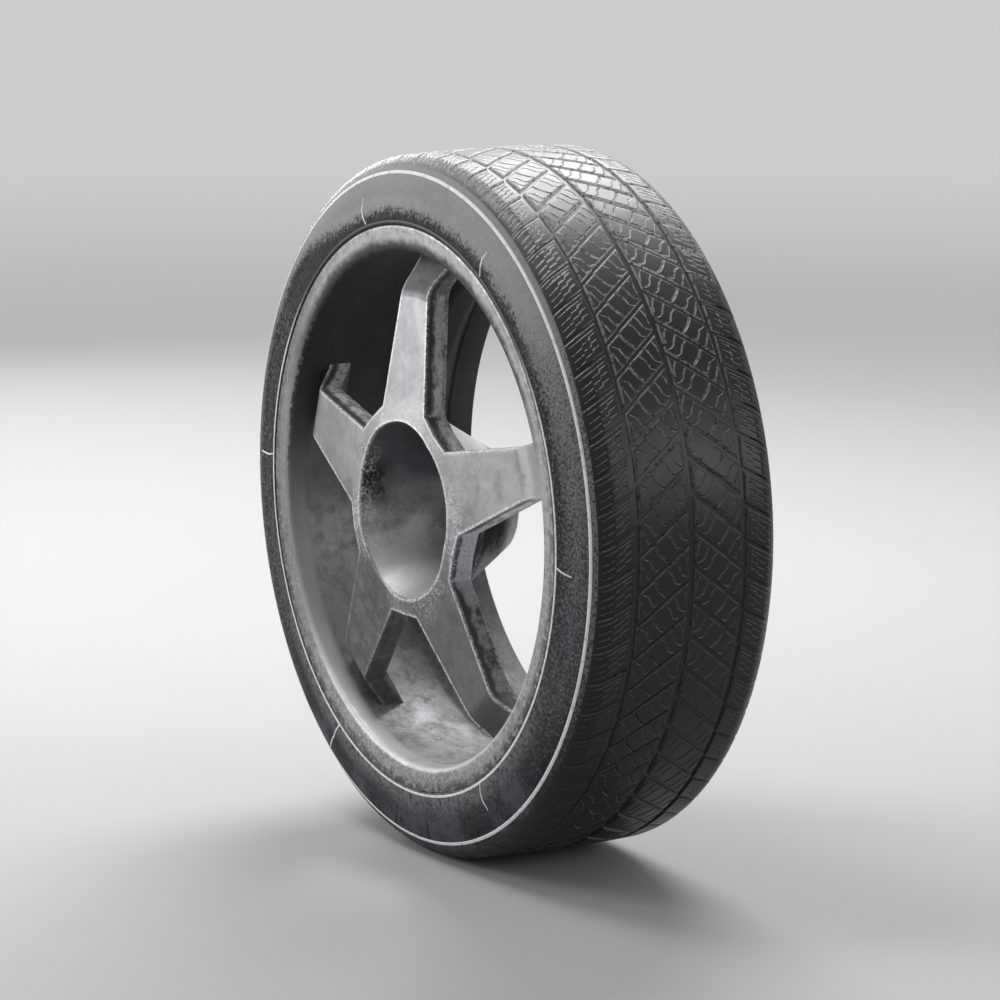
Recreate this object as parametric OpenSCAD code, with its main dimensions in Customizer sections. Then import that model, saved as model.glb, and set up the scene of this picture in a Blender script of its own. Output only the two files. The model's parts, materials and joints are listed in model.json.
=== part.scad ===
// Car wheel: a one-piece five-spoke cast rim for a single centre nut,
// a low-profile tyre with a directional tread, and a snap-in tubeless valve.
//
// Frame: millimetres, +Z up, the wheel's axis along Y, its outer face towards -Y.
// The origin is the centre of the hub's mounting face.

/* [Rim] */
// Diameter of the bead seats
seat_d = 436.6; // [434:0.2:440]
// Width between the flanges' inner faces
rim_w = 177.8; // [172:0.2:184]
// Distance from the mounting face in to the rim's centre plane
offset_et = 12; // [6:0.5:18]
// Height of a flange above its bead seat
flange_h = 17.5; // [15:0.5:19]
// Thickness of a flange at its outer edge
flange_t = 4; // [3:0.25:5]
// Thickness of the barrel's wall
barrel_t = 4; // [3.6:0.1:5]
// Width of the flat band on the face of each lip
lip_band = 15.4; // [12:0.2:17]
// Radius that rounds each lip into the barrel
lip_round = 7; // [5:0.5:9]
// Depth of the drop centre below the bead seats
well_depth = 18; // [14:0.5:20]
// Width of the drop centre's floor
well_w = 30; // [26:1:34]
// Distance from the centre plane back to the middle of the drop centre
well_back = 33; // [31:1:36]

/* [Spokes] */
// Number of spokes
spokes = 5; // [4:1:6]
// Half width of a spoke where it leaves the hub
spoke_root_hw = 34.5; // [31:0.5:37]
// Half width of a spoke at its bend
spoke_bend_hw = 21.2; // [18:0.5:25]
// Half width of a spoke's foot on the barrel
spoke_foot_hw = 30; // [26:0.5:34]
// Distance from the bend in a spoke out to the barrel
foot_run = 30; // [26:0.5:38]
// Slope of a spoke's face, in degrees from the wheel's plane
spoke_slope = 6.4; // [4:0.2:8]
// Slope of a spoke's foot, in degrees from the wheel's plane
foot_slope = 41; // [36:0.5:46]
// Thickness of a spoke, front to back
spoke_t = 20; // [16:0.5:22]
// Radius that rounds the bend in a spoke's face
bend_round = 26; // [10:1:40]
// Depth of the hollow cast in the back of each spoke
pocket_depth = 10; // [6:0.5:12]
// Wall left around that hollow
pocket_wall = 8; // [6:0.5:10]

/* [Hub] */
// Height of the hub's face in front of the mounting face
hub_h = 86.5; // [80:0.5:92]
// Distance from the axis to the flat between two spokes
valley_r = 87.3; // [85:0.1:90]
// Diameter of the cup's mouth
cup_d = 148; // [140:0.5:152]
// Diameter of the cup's floor
cup_floor_d = 84; // [80:0.5:88]
// Thickness of the mounting pad under the cup's floor
pad_t = 16.5; // [15:0.5:20]
// Diameter of the hub's cone behind the spokes
cone_d = 167; // [162:1:170]
// Diameter of the mounting face
pad_d = 84.8; // [82:0.2:90]
// Diameter of the centre bore
bore_d = 40; // [36:0.5:44]
// Outer diameter of the nut's conical seat
nut_seat_d = 56; // [50:0.5:60]
// Number of holes for drive pins
pins = 5; // [4:1:6]
// Diameter of the drive pin holes
pin_d = 12; // [10:0.5:12]
// Pitch circle diameter of the drive pin holes
pin_pcd = 64; // [62:0.5:66]
// Depth of the drive pin holes
pin_depth = 10; // [7:0.5:11]

/* [Tyre] */
// Height of the tyre above the rim's bead seats
section_h = 75.7; // [72:0.1:82]
// Width of the tyre over its shoulders
tyre_w = 178; // [174:1:182]
// How far the tyre stands out past the flanges' faces where it leaves them
base_out = 0.1; // [0:0.05:0.5]
// Width of the tread between its rounded shoulders
tread_w = 135; // [128:1:140]
// Drop of the crown from the tread's middle to its shoulders
crown_drop = 1.5; // [0.5:0.1:3]
// Depth of the rounded shoulder, measured down from the crown
shoulder_h = 33; // [28:1:38]
// Thickness of the tyre under the tread grooves
under_tread = 7; // [5:0.5:9]
// Thickness of the sidewalls
sidewall_t = 9; // [7:0.5:12]
// Width of each bead
bead_w = 15; // [12:0.5:18]
// Gap between the tyre and the rim
bead_gap = 0.2; // [0.1:0.05:0.3]

/* [Tread] */
// Number of blocks in each row
pitches = 64; // [56:1:72]
// Depth of the grooves
groove_depth = 7; // [5:0.5:8]
// Width of the centre groove
centre_groove = 5; // [3:0.5:7]
// Width of the two outer grooves that run round the tyre
side_groove = 4; // [3:0.5:6]
// Distance from the tread's middle to the inner edge of an outer groove
side_groove_at = 47.8; // [45:0.2:50]
// Width of the slanted grooves
slant_groove = 3.6; // [2.5:0.1:5]
// Slant of the grooves in the inner rows, in degrees
inner_slant = 38.6; // [30:0.2:44]
// Slant of the grooves in the shoulder rows, in degrees
shoulder_slant = 28.4; // [20:0.2:35]
// Turn of the whole pattern round the axle, in degrees
pattern_turn = 3.63; // [0:0.01:5.6]
// Angle by which the front half of the pattern leads the back half, in degrees
pattern_lead = 1.65; // [0:0.05:2.8]
// Distance from the tread's middle at which the shoulder grooves run out
run_out = 84; // [80:0.5:86]
// Drop of a shoulder groove's floor over its length
run_out_drop = 6.4; // [5:0.2:8]

/* [Valve] */
// Diameter of the valve hole in the rim
valve_hole_d = 11.3; // [11.1:0.1:11.7]
// Distance from the centre plane out to the valve hole
valve_at = 54; // [50:1:56]
// Diameter of the valve's rubber bulb inside the tyre
bulb_d = 19; // [17:0.5:21]
// Height of that bulb
bulb_h = 8; // [6:0.5:10]
// Diameter of the rubber collar outside the rim
collar_d = 15.2; // [14:0.2:17]
// Length of the rubber body outside the rim
body_l = 22; // [18:0.5:26]
// Diameter of the rubber body at its tip
tip_d = 10.4; // [10:0.2:11.4]
// Outer diameter of the brass stem's threaded end
stem_d = 7.7; // [7.5:0.1:8]
// Length of the brass stem that stands out of the rubber
stem_out = 9.5; // [8:0.5:11]
// Diameter of the bore for the valve core
core_bore_d = 5.2; // [5:0.1:5.6]
// Length of the bore for the valve core
core_bore_l = 20; // [18:0.5:22]
// Diameter of the air passage below the core
air_d = 3; // [2.4:0.1:3.4]
// Length of the core's brass body
core_l = 8; // [6:0.5:9]
// Diameter of the hole for the pin through the core
core_hole_d = 2.4; // [2.2:0.1:2.8]
// Diameter of the core's pin
pin_wire_d = 1.2; // [1:0.1:1.4]
// Length of the valve cap
cap_l = 12; // [11:0.5:14]
// Outer diameter of the valve cap
cap_d = 10; // [9.6:0.1:11]
// Radial gap between the cap and the stem
cap_gap = 0.1; // [0.05:0.01:0.2]

/* [Hidden] */
$fn = 96;

// Rim, as radii and as heights outboard of the centre plane
seat_r = seat_d / 2;
flange_r = seat_r + flange_h;
flange_in = rim_w / 2;
flange_face = flange_in + flange_t;
flange_fillet = 6;
crest_r = flange_t / 2;
lip_r = flange_r - lip_band;
lip_slope_l = 19;
lip_drop = 1;
ledge_drop = 0.8;
ledge_r = seat_r - ledge_drop;
barrel_r = ledge_r - barrel_t;
hump_drop = 0.2;
hump_ramp = 3;
hump_w = 5;
hump_z = flange_in - bead_w - hump_w;
seat_drop = 1;
well_r = seat_r - well_depth;
well_ramp = 10;
well_lean = 3.3;

// Spokes, with s outwards from the axis and z outboard
spoke_step = 360 / spokes;
spoke_turn = 90;
valve_angle = spoke_turn - 1.5 * spoke_step;
cup_r = cup_d / 2;
face_z = offset_et + hub_h;
spoke_bend_r = barrel_r - foot_run;
foot_r = barrel_r + barrel_t / 2;
side_slope = (spoke_root_hw - spoke_bend_hw) / (spoke_bend_r - cup_r);

// Hub
floor_z = offset_et + pad_t;
nut_seat_h = (nut_seat_d - bore_d) / 2;
plate_under = face_z - spoke_t;
cone_sunk = 2;
pocket_inner_s = 130;
pocket_outer_s = 163;

// Tyre
tyre_r = seat_r + section_h;
shoulder_r = tyre_r - crown_drop;
shoulder_w = (tyre_w - tread_w) / 2;
groove_r = tyre_r - groove_depth;
liner_r = groove_r - under_tread;
side_far = side_groove_at + side_groove;
base_lip = 0.7;
bead_h = 16;
bead_ramp = 10;
liner_round = shoulder_h - 6;
liner_flat = tread_w / 2 - 14;
wall_in = tyre_w / 2 - sidewall_t;
pitch_angle = 360 / pitches;

// Valve, with z inwards from the barrel's inner face towards the axis
seat_gap = 0.2;
neck_gap = 0.1;
bulb_round = 3;
bulb_edge = 0.5;
bulb_band = 1.5;
collar_edge = 0.4;
collar_round = 1.2;
tip_round = 0.6;
taper = 1.3;
stem_edge = 0.5;
stem_top = body_l + stem_out;
core_sunk = 1;
core_top = stem_top - core_sunk;
core_fit = 0.1;
core_foot = core_top - core_l;
collar_h = 3;
seal_d = 4.4;
seal_h = 1.2;
pin_foot_h = 0.8;
pin_collar_r = 1.45;
pin_collar_h = 0.6;
pin_room = 1;
pin_foot_r = seal_d / 2 - 0.5;
pin_proud = 0.5;
spring_bore_r = 1.7;
spring_r = 1.15;
spring_wire_d = 0.4;
ledge_h = 2;
spring_foot = core_foot + ledge_h;
spring_top = core_top - pin_room - pin_collar_h;
coils = 4;
ring_steps = 16;
cap_room = 1;
cap_lift = 0.3;
cap_edge = 0.3;
cap_bevel = 1.2;
cap_flutes = 16;
flute_r = 0.7;
flute_out = 0.3;
flute_from = 2.5;

// Long enough to reach through anything, and how far a cutter starts outside
big = 2 * tyre_r;
past = 1;

// Turns a shape drawn round Z, with z outboard of the centre plane, onto the axle
module on_axle() {
    rotate([90, 0, 0]) translate([0, 0, -offset_et]) children();
}

// Puts a shape drawn along Z on the valve's axis, with z = 0 at the barrel's inner face
module on_valve() {
    on_axle() rotate(valve_angle) translate([barrel_r, 0, valve_at]) rotate([0, -90, 0])
        children();
}

// Points of an arc in degrees
function arc(cx, cy, r, a0, a1, n) =
    [for (i = [0:n]) let (a = a0 + (a1 - a0) * i / n) [cx + r * cos(a), cy + r * sin(a)]];

// The same section points on the other side of the centre plane, in reverse order
function back(points) = [for (i = [len(points) - 1:-1:0]) [points[i][0], -points[i][1]]];

// Outer flange on the tyre's side, from the safety hump over the bead seat to the crest
function flange_side() = concat(
    [[ledge_r, hump_z - hump_ramp], [seat_r - hump_drop, hump_z],
     [seat_r - hump_drop, hump_z + hump_w / 2], [seat_r - seat_drop, hump_z + hump_w],
     [seat_r, flange_in - flange_fillet]],
    arc(seat_r + flange_fillet, flange_in - flange_fillet, flange_fillet, 180, 90, 5),
    arc(flange_r - crest_r, flange_face - crest_r, crest_r, -90, 90, 8));

// Outer lip on the axle's side, from the flange's face round into the barrel
function lip_side() = concat(
    arc(lip_r, flange_face - lip_drop - lip_round, lip_round, 90, 150, 6),
    [[barrel_r, flange_face - lip_slope_l]]);

// Section of the barrel, with its drop centre in the back half
module barrel_section() {
    floor_front = -well_back + well_w / 2;
    floor_rear = -well_back - well_w / 2;
    polygon(concat(
        back(flange_side()),
        [[ledge_r, floor_rear - well_ramp], [well_r, floor_rear],
         [well_r, floor_front], [ledge_r, floor_front + well_ramp]],
        flange_side(),
        lip_side(),
        [[barrel_r, floor_front + well_ramp + well_lean],
         [well_r - barrel_t, floor_front + well_lean],
         [well_r - barrel_t, floor_rear - well_lean],
         [barrel_r, floor_rear - well_ramp - well_lean]],
        back(lip_side())));
}

// Height of a spoke's face, and of its foot, at distance s from the axis
function face_at(s) = face_z - (s - cup_r) * tan(spoke_slope);
function foot_at(s) = face_at(spoke_bend_r) - (s - spoke_bend_r) * tan(foot_slope);

// Everything under one spoke's face, bend and foot, carried across the whole wheel
module under_one_face() {
    half_turn = (foot_slope - spoke_slope) / 2;
    reach = bend_round * tan(half_turn);
    tangent_s = spoke_bend_r - reach * cos(spoke_slope);
    bend_cx = tangent_s - bend_round * sin(spoke_slope);
    bend_cz = face_at(tangent_s) - bend_round * cos(spoke_slope);
    far = flange_r;
    rotate([90, 0, 0]) linear_extrude(big, center = true)
        polygon(concat(
            [[-far, -far], [-far, face_at(-far)]],
            arc(bend_cx, bend_cz, bend_round, 90 - spoke_slope, 90 - foot_slope, 8),
            [[far, foot_at(far)], [far, -far]]));
}

module under_all_faces() {
    intersection_for (i = [0:spokes - 1])
        rotate(spoke_turn + i * spoke_step) under_one_face();
}

// Half width of a spoke: tapering out to its bend, then flaring to its foot
function half_width(s) = s < spoke_bend_r
    ? spoke_bend_hw + (spoke_bend_r - s) * side_slope
    : spoke_bend_hw + (spoke_foot_hw - spoke_bend_hw) * pow((s - spoke_bend_r) / foot_run, 2);

// Where a spoke's side meets the flat of the hub beside it
valley_a = 180 / spokes;
root_s = (valley_r - (spoke_bend_hw + spoke_bend_r * side_slope) * sin(valley_a))
    / (cos(valley_a) - side_slope * sin(valley_a));

// Outline of the hub plate and its spokes, seen from the front
module star_outline() {
    steps = 6;
    past_barrel = 1.15;
    stations = concat([root_s],
        [for (i = [0:steps]) spoke_bend_r + foot_run * past_barrel * i / steps]);
    last = len(stations) - 1;
    right = [for (s = stations) [s, -half_width(s)]];
    left = [for (i = [last:-1:0]) [stations[i], half_width(stations[i])]];
    polygon([for (k = [0:spokes - 1], p = concat(right, left))
        let (a = spoke_turn + k * spoke_step)
        [p[0] * cos(a) - p[1] * sin(a), p[0] * sin(a) + p[1] * cos(a)]]);
}

module spoked_plate() {
    intersection() {
        linear_extrude(big) star_outline();
        difference() {
            under_all_faces();
            translate([0, 0, -spoke_t]) under_all_faces();
        }
        cylinder(h = big, r = foot_r);
    }
}

// Hollow cast in the back of a spoke
module spoke_pocket() {
    inner_hw = half_width(pocket_inner_s) - pocket_wall;
    outer_hw = half_width(pocket_outer_s) - pocket_wall;
    translate([cup_r, 0, face_z]) rotate([0, spoke_slope, 0])
        translate([-cup_r, 0, -spoke_t - past]) linear_extrude(pocket_depth + past)
            polygon(concat(
                arc(pocket_outer_s, 0, outer_hw, -90, 90, 12),
                arc(pocket_inner_s, 0, inner_hw, 90, 270, 12)));
}

// Cone behind the plate that carries the mounting pad, sunk a little into the plate
module hub_cone() {
    cone_h = plate_under - offset_et;
    flare = (cone_d - pad_d) / 2 / cone_h;
    translate([0, 0, offset_et])
        cylinder(h = cone_h + cone_sunk, r1 = pad_d / 2, r2 = cone_d / 2 + cone_sunk * flare);
}

// Cup in the hub's face, the centre nut's seat, the bore and the drive pin holes
module hub_hollows() {
    flare = (cup_d - cup_floor_d) / 2 / (face_z - floor_z);
    translate([0, 0, floor_z])
        cylinder(h = face_z - floor_z + past, r1 = cup_floor_d / 2, r2 = cup_r + past * flare);
    translate([0, 0, face_z]) cylinder(h = cup_r, r = cup_r);
    translate([0, 0, floor_z - nut_seat_h])
        cylinder(h = nut_seat_h + past, r1 = bore_d / 2, r2 = nut_seat_d / 2 + past);
    translate([0, 0, offset_et - past])
        cylinder(h = pad_t + past, d = bore_d);
    for (i = [0:pins - 1])
        rotate(spoke_turn + i * 360 / pins) translate([pin_pcd / 2, 0, offset_et - past])
            cylinder(h = pin_depth + past, d = pin_d, $fn = 48);
}

module rim() {
    color([0.56, 0.56, 0.55]) on_axle() difference() {
        union() {
            rotate_extrude($fn = 180) barrel_section();
            spoked_plate();
            hub_cone();
        }
        hub_hollows();
        for (i = [0:spokes - 1])
            rotate(spoke_turn + i * spoke_step) spoke_pocket();
        rotate(valve_angle) translate([barrel_r - past, 0, valve_at]) rotate([0, 90, 0])
            cylinder(h = barrel_t + 2 * past, d = valve_hole_d, $fn = 64);
    }
}

// Radius of the crown at distance t from the tread's middle
function crown_at(t) = tyre_r - crown_drop * pow(t / (tread_w / 2), 2);

// Outside of one half of the tyre, from the tread's middle to the flange
function tyre_outside() = concat(
    [[groove_r, 0], [groove_r, centre_groove / 2], [crown_at(centre_groove / 2), centre_groove / 2],
     [crown_at(side_groove_at / 2), side_groove_at / 2],
     [crown_at(side_groove_at), side_groove_at], [groove_r, side_groove_at],
     [groove_r, side_far], [crown_at(side_far), side_far]],
    [for (i = [0:8]) let (a = i * 90 / 8)
        [shoulder_r - shoulder_h * (1 - cos(a)), tread_w / 2 + shoulder_w * sin(a)]],
    [[flange_r + base_lip, flange_face + base_out]],
    arc(flange_r - crest_r, flange_face - crest_r, crest_r + bead_gap, 40, -90, 6));

// Inside of one half of the tyre, from the bead's heel up to the liner's middle
function tyre_inside() = concat(
    arc(seat_r + flange_fillet + bead_gap, flange_in - flange_fillet - bead_gap,
        flange_fillet, 90, 180, 5),
    [[seat_r + bead_gap, flange_in - bead_w], [seat_r + bead_h, flange_in - bead_w],
     [seat_r + bead_h + bead_ramp, wall_in]],
    [for (i = [8:-1:1]) let (a = i * 90 / 8)
        [liner_r - liner_round * (1 - cos(a)),
         liner_flat + (wall_in - liner_flat) * sin(a)]],
    [[liner_r, liner_flat]]);

module tyre_section() {
    outside = tyre_outside();
    inside = tyre_inside();
    polygon(concat(back(outside), outside, inside, back(inside)));
}

// One slanted groove of an inner row, from the centre groove to the outer one
module inner_groove() {
    run = side_groove_at + side_groove / 2;
    drop = run / 2 * tan(inner_slant);
    long = run / cos(inner_slant) + slant_groove;
    rotate(-drop / tyre_r * 180 / PI) translate([groove_r, 0, run / 2])
        rotate([inner_slant, 0, 0]) translate([0, -slant_groove / 2, -long / 2])
            cube([2 * groove_depth, slant_groove, long]);
}

// Its carry-on across the shoulder, running out on the rounded edge
module shoulder_groove() {
    start = side_groove_at + side_groove / 2;
    run = run_out - start;
    tilt = atan(run_out_drop / run);
    down = start * tan(inner_slant) + run / 2 * tan(shoulder_slant);
    long = run / cos(shoulder_slant) + slant_groove;
    rotate(-down / tyre_r * 180 / PI)
        translate([groove_r - run_out_drop / 2, 0, start + run / 2])
            rotate([shoulder_slant, 0, 0]) rotate([0, -tilt, 0])
                translate([0, -slant_groove / 2, -long / 2])
                    cube([3 * groove_depth, slant_groove, long + 2 * slant_groove]);
}

module tread_grooves() {
    for (i = [0:pitches - 1]) {
        rotate(i * pitch_angle) {
            inner_groove();
            shoulder_groove();
        }
    }
}

module tyre() {
    color([0.12, 0.12, 0.13]) on_axle() difference() {
        rotate_extrude($fn = 180) tyre_section();
        rotate(pattern_turn + pattern_lead) tread_grooves();
        rotate(pattern_turn) mirror([0, 0, 1]) tread_grooves();
    }
}

// Rubber body of the snap-in valve: bulb, neck, collar and taper
module valve_rubber() {
    foot = -barrel_t - bulb_h;
    bulb_r = bulb_d / 2;
    neck_r = valve_hole_d / 2 - neck_gap;
    collar_r = collar_d / 2;
    collar_top = seat_gap + collar_h;
    tip_r = tip_d / 2;
    color([0.10, 0.10, 0.10]) on_valve() rotate_extrude($fn = 64) polygon(concat(
        [[stem_d / 2, foot]],
        arc(bulb_r - bulb_round, foot + bulb_round, bulb_round, -90, 0, 5),
        [[bulb_r, -barrel_t - bulb_band], [bulb_r - bulb_edge, -barrel_t - seat_gap],
         [neck_r, -barrel_t - seat_gap], [neck_r, seat_gap],
         [collar_r - collar_edge, seat_gap], [collar_r, seat_gap + collar_edge]],
        arc(collar_r - collar_round, collar_top - collar_round, collar_round, 0, 80, 4),
        [[tip_r + taper, collar_top + tip_round], [tip_r, body_l - tip_round],
         [tip_r - tip_round, body_l], [stem_d / 2, body_l]]));
}

// Brass tube moulded into the rubber, with the bore that takes the core
module valve_stem() {
    foot = -barrel_t - bulb_h;
    bore_floor = stem_top - core_bore_l;
    stem_r = stem_d / 2;
    color([0.72, 0.58, 0.30]) on_valve() rotate_extrude($fn = 64)
        polygon([[air_d / 2, foot], [stem_r, foot], [stem_r, stem_top - stem_edge],
            [stem_r - stem_edge, stem_top], [core_bore_d / 2, stem_top],
            [core_bore_d / 2, bore_floor], [air_d / 2, bore_floor - stem_edge]]);
}

// Brass body of the valve core, open at its top for the spring
module core_body() {
    outer = core_bore_d / 2 - core_fit;
    color([0.72, 0.58, 0.30]) on_valve() rotate_extrude($fn = 48)
        polygon([[core_hole_d / 2, core_foot], [outer, core_foot], [outer, core_top],
            [spring_bore_r, core_top], [spring_bore_r, spring_foot],
            [core_hole_d / 2, spring_foot]]);
}

// Pin of the valve core: a collar that the spring lifts, and a foot that holds the seal
module core_pin() {
    wire_r = pin_wire_d / 2;
    foot = core_foot - seal_h - pin_foot_h;
    color([0.78, 0.66, 0.38]) on_valve() rotate_extrude($fn = 48)
        polygon([[0, foot], [pin_foot_r, foot], [pin_foot_r, foot + pin_foot_h],
            [wire_r, foot + pin_foot_h], [wire_r, spring_top], [pin_collar_r, spring_top],
            [pin_collar_r, spring_top + pin_collar_h], [wire_r, spring_top + pin_collar_h],
            [wire_r, core_top + pin_proud], [0, core_top + pin_proud]]);
}

// Rubber washer that closes the core from below
module core_seal() {
    color([0.10, 0.10, 0.10]) on_valve() rotate_extrude($fn = 48)
        polygon([[pin_wire_d / 2, core_foot - seal_h], [seal_d / 2, core_foot - seal_h],
            [seal_d / 2, core_foot], [pin_wire_d / 2, core_foot]]);
}

// Round wire coil between the core body's ledge and the pin's collar
module core_spring() {
    wire_r = spring_wire_d / 2;
    rise = spring_top - spring_foot - spring_wire_d;
    rings = coils * ring_steps;
    sides = 8;
    points = [for (i = [0:rings], j = [0:sides - 1])
        let (turn = 360 * i / ring_steps, side = 360 * j / sides,
            r = spring_r + wire_r * cos(side))
        [r * cos(turn), r * sin(turn),
         spring_foot + wire_r + rise * i / rings + wire_r * sin(side)]];
    walls = [for (i = [0:rings - 1], j = [0:sides - 1])
        let (k = (j + 1) % sides, here = i * sides, next = here + sides)
        [here + j, next + j, next + k, here + k]];
    ends = [[for (j = [0:sides - 1]) j],
        [for (j = [sides - 1:-1:0]) rings * sides + j]];
    color([0.75, 0.75, 0.76]) on_valve() polyhedron(points, concat(walls, ends));
}

// Plastic dust cap with finger flutes
module valve_cap() {
    foot = body_l + cap_lift;
    top = foot + cap_l;
    cap_r = cap_d / 2;
    inner_r = stem_d / 2 + cap_gap;
    roof = stem_top + cap_room;
    color([0.07, 0.07, 0.07]) on_valve() difference() {
        rotate_extrude($fn = 64)
            polygon([[inner_r, foot], [cap_r - cap_edge, foot], [cap_r, foot + cap_edge],
                [cap_r, top - cap_bevel], [cap_r - cap_bevel, top], [0, top], [0, roof],
                [inner_r, roof]]);
        for (i = [0:cap_flutes - 1])
            rotate(i * 360 / cap_flutes) translate([cap_r + flute_out, 0, foot + flute_from])
                cylinder(h = cap_l, r = flute_r, $fn = 24);
    }
}

rim();
tyre();
valve_rubber();
valve_stem();
core_body();
core_pin();
core_seal();
core_spring();
valve_cap();
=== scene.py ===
import json
from math import acos, asin, atan2, ceil, cos, degrees, hypot, pi, radians, sin, sqrt, tan

import bmesh
import bpy
import numpy as np
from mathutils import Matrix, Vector
from mathutils.geometry import delaunay_2d_cdt


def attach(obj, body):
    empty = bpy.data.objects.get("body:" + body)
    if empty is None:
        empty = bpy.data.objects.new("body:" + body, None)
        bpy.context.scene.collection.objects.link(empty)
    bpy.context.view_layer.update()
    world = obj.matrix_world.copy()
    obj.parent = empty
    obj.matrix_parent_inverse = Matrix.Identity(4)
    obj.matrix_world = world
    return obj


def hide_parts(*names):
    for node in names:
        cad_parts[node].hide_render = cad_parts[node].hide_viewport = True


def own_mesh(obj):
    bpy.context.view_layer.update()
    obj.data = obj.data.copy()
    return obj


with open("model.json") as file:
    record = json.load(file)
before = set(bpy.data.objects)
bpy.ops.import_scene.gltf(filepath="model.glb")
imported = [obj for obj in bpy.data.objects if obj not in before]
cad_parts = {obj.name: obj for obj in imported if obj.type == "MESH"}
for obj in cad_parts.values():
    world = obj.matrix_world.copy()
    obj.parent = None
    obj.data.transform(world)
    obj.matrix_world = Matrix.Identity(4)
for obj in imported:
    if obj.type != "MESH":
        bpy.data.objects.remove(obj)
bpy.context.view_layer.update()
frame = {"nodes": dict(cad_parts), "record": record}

# The wheel's own frame, in millimetres: z outboard of the rim's centre plane,
# x and y in the wheel's plane. The row's axis Y is the axle, front toward -Y.
OFFSET = 12.0
MM = 1000.0


def to_row(points):
    p = np.asarray(points, float)
    return np.c_[p[:, 0], OFFSET - p[:, 2], p[:, 1]] / MM


# Meshes
def linked(name, data):
    """A new object in the scene."""
    thing = bpy.data.objects.new(name, data)
    bpy.context.scene.collection.objects.link(thing)
    return thing


def new_object(name, points, faces):
    mesh = bpy.data.meshes.new(name)
    mesh.from_pydata([tuple(map(float, p)) for p in to_row(points)], [], faces)
    mesh.validate()
    mesh.shade_smooth()
    return linked(name, mesh)


def outward_normals(piece, weld=None):
    """Turns all faces outward, after joining points closer than weld, in metres."""
    bm = bmesh.new()
    bm.from_mesh(piece.data)
    if weld:
        bmesh.ops.remove_doubles(bm, verts=bm.verts, dist=weld)
    bmesh.ops.recalc_face_normals(bm, faces=bm.faces)
    bm.to_mesh(piece.data)
    bm.free()


def lathe(profile, segments, closed=True, phase=0.0):
    """Points and faces of a profile of (radius, z) turned round the axle."""
    rows = len(profile)
    turn = phase + np.arange(segments) * 2 * pi / segments
    points = [(*polar(r, a), z) for a in turn for r, z in profile]
    faces = []
    for i in range(segments):
        here, there = i * rows, (i + 1) % segments * rows
        for j in range(rows if closed else rows - 1):
            k = (j + 1) % rows
            faces.append((here + j, there + j, there + k, here + k))
    return points, faces


def turned(x, y, a):
    return x * cos(a) - y * sin(a), x * sin(a) + y * cos(a)


def polar(r, a):
    return r * cos(a), r * sin(a)


def unit(v):
    return v / np.linalg.norm(v)


def tube_faces(rings, n):
    """Quads between rings of n points each, and the two ends."""
    faces = [tuple(range(n))[::-1], tuple(range((rings - 1) * n, rings * n))]
    for a in range(0, (rings - 1) * n, n):
        for i in range(n):
            j = (i + 1) % n
            faces.append((a + i, a + j, a + n + j, a + n + i))
    return faces


def arc(cx, cy, r, start, end, steps):
    turn = np.radians(np.linspace(start, end, steps + 1))
    return [(cx + r * cos(a), cy + r * sin(a)) for a in turn]


def mirrored(points):
    return [(r, -z) for r, z in reversed(points)]


# Corners flatter than this half angle, in degrees, stay as they are
STRAIGHT = 88


def rounded(points, radius, steps=4):
    """A polyline with an arc of this radius, or less where it doesn't fit, at each inner corner."""
    out = [points[0]]
    for before, here, after in zip(points, points[1:], points[2:]):
        b, h, a = (np.array(p, float) for p in (before, here, after))
        u, v = b - h, a - h
        lu, lv = np.linalg.norm(u), np.linalg.norm(v)
        u, v = unit(u), unit(v)
        half = acos(max(-1.0, min(1.0, float(u @ v)))) / 2
        if half > radians(STRAIGHT):
            out.append(here)
            continue
        reach = min(radius / tan(half), lu * 0.45, lv * 0.45)
        r = reach * tan(half)
        middle = h + unit(u + v) * r / sin(half)
        p0, p1 = h + u * reach - middle, h + v * reach - middle
        a0 = atan2(p0[1], p0[0])
        sweep = (atan2(p1[1], p1[0]) - a0 + pi) % (2 * pi) - pi
        out += [tuple(middle + polar(r, a0 + sweep * i / steps)) for i in range(steps + 1)]
    out.append(points[-1])
    return out


# Rim. Along a spoke s is the distance from the axle, w the distance from its middle line
# and HW a half width. Its face slopes down to a bend, and its foot from there to the barrel.
SPOKES = 5
SPOKE_PITCH = 360 / SPOKES
SPOKE_TURN = 90.0
SPOKE_T = 20.0
FACE_Z = 98.5
CUP_R = 74.0
FACE_TILT, FOOT_TILT = 6.4, 41.0
FACE_SLOPE = tan(radians(FACE_TILT))
FOOT_SLOPE = tan(radians(FOOT_TILT))
BEND_S, BEND_HW, BEND_ROUND = 183.5, 21.2, 26.0
SIDE_SLOPE = 13.3 / 109.5
FOOT_HW, FOOT_RUN = 30.0, 30.0
FOOT_S, FOOT_END, FOOT_R = 207.0, 213.4, 215.5
FOOT_STEPS = 5
ROOT_S, ROOT_HW = 82.84, 34.5
VALLEY_R = 87.3
CUP_SIDES, SPOKE_STRIPS = 16, 8
# The cup from its mouth to the bore, as radius and z, and the cone behind it
CUP = [(73.3, 96.6), (58, 63.5), (45.6, 36.5), (42.6, 30.4), (41.0, 28.9), (39.0, 28.5),
       (28.0, 28.5), (20.0, 20.5), (20.0, 12.0)]
CONE = [(42.4, 12.0), (62.0, 43.7)]
PAD_R, PAD_Z = CONE[0]
CONE_END_R, CONE_END_Z = 83.5, 78.5
CONE_FLARE = (CONE_END_R - PAD_R) / (CONE_END_Z - PAD_Z)
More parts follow.
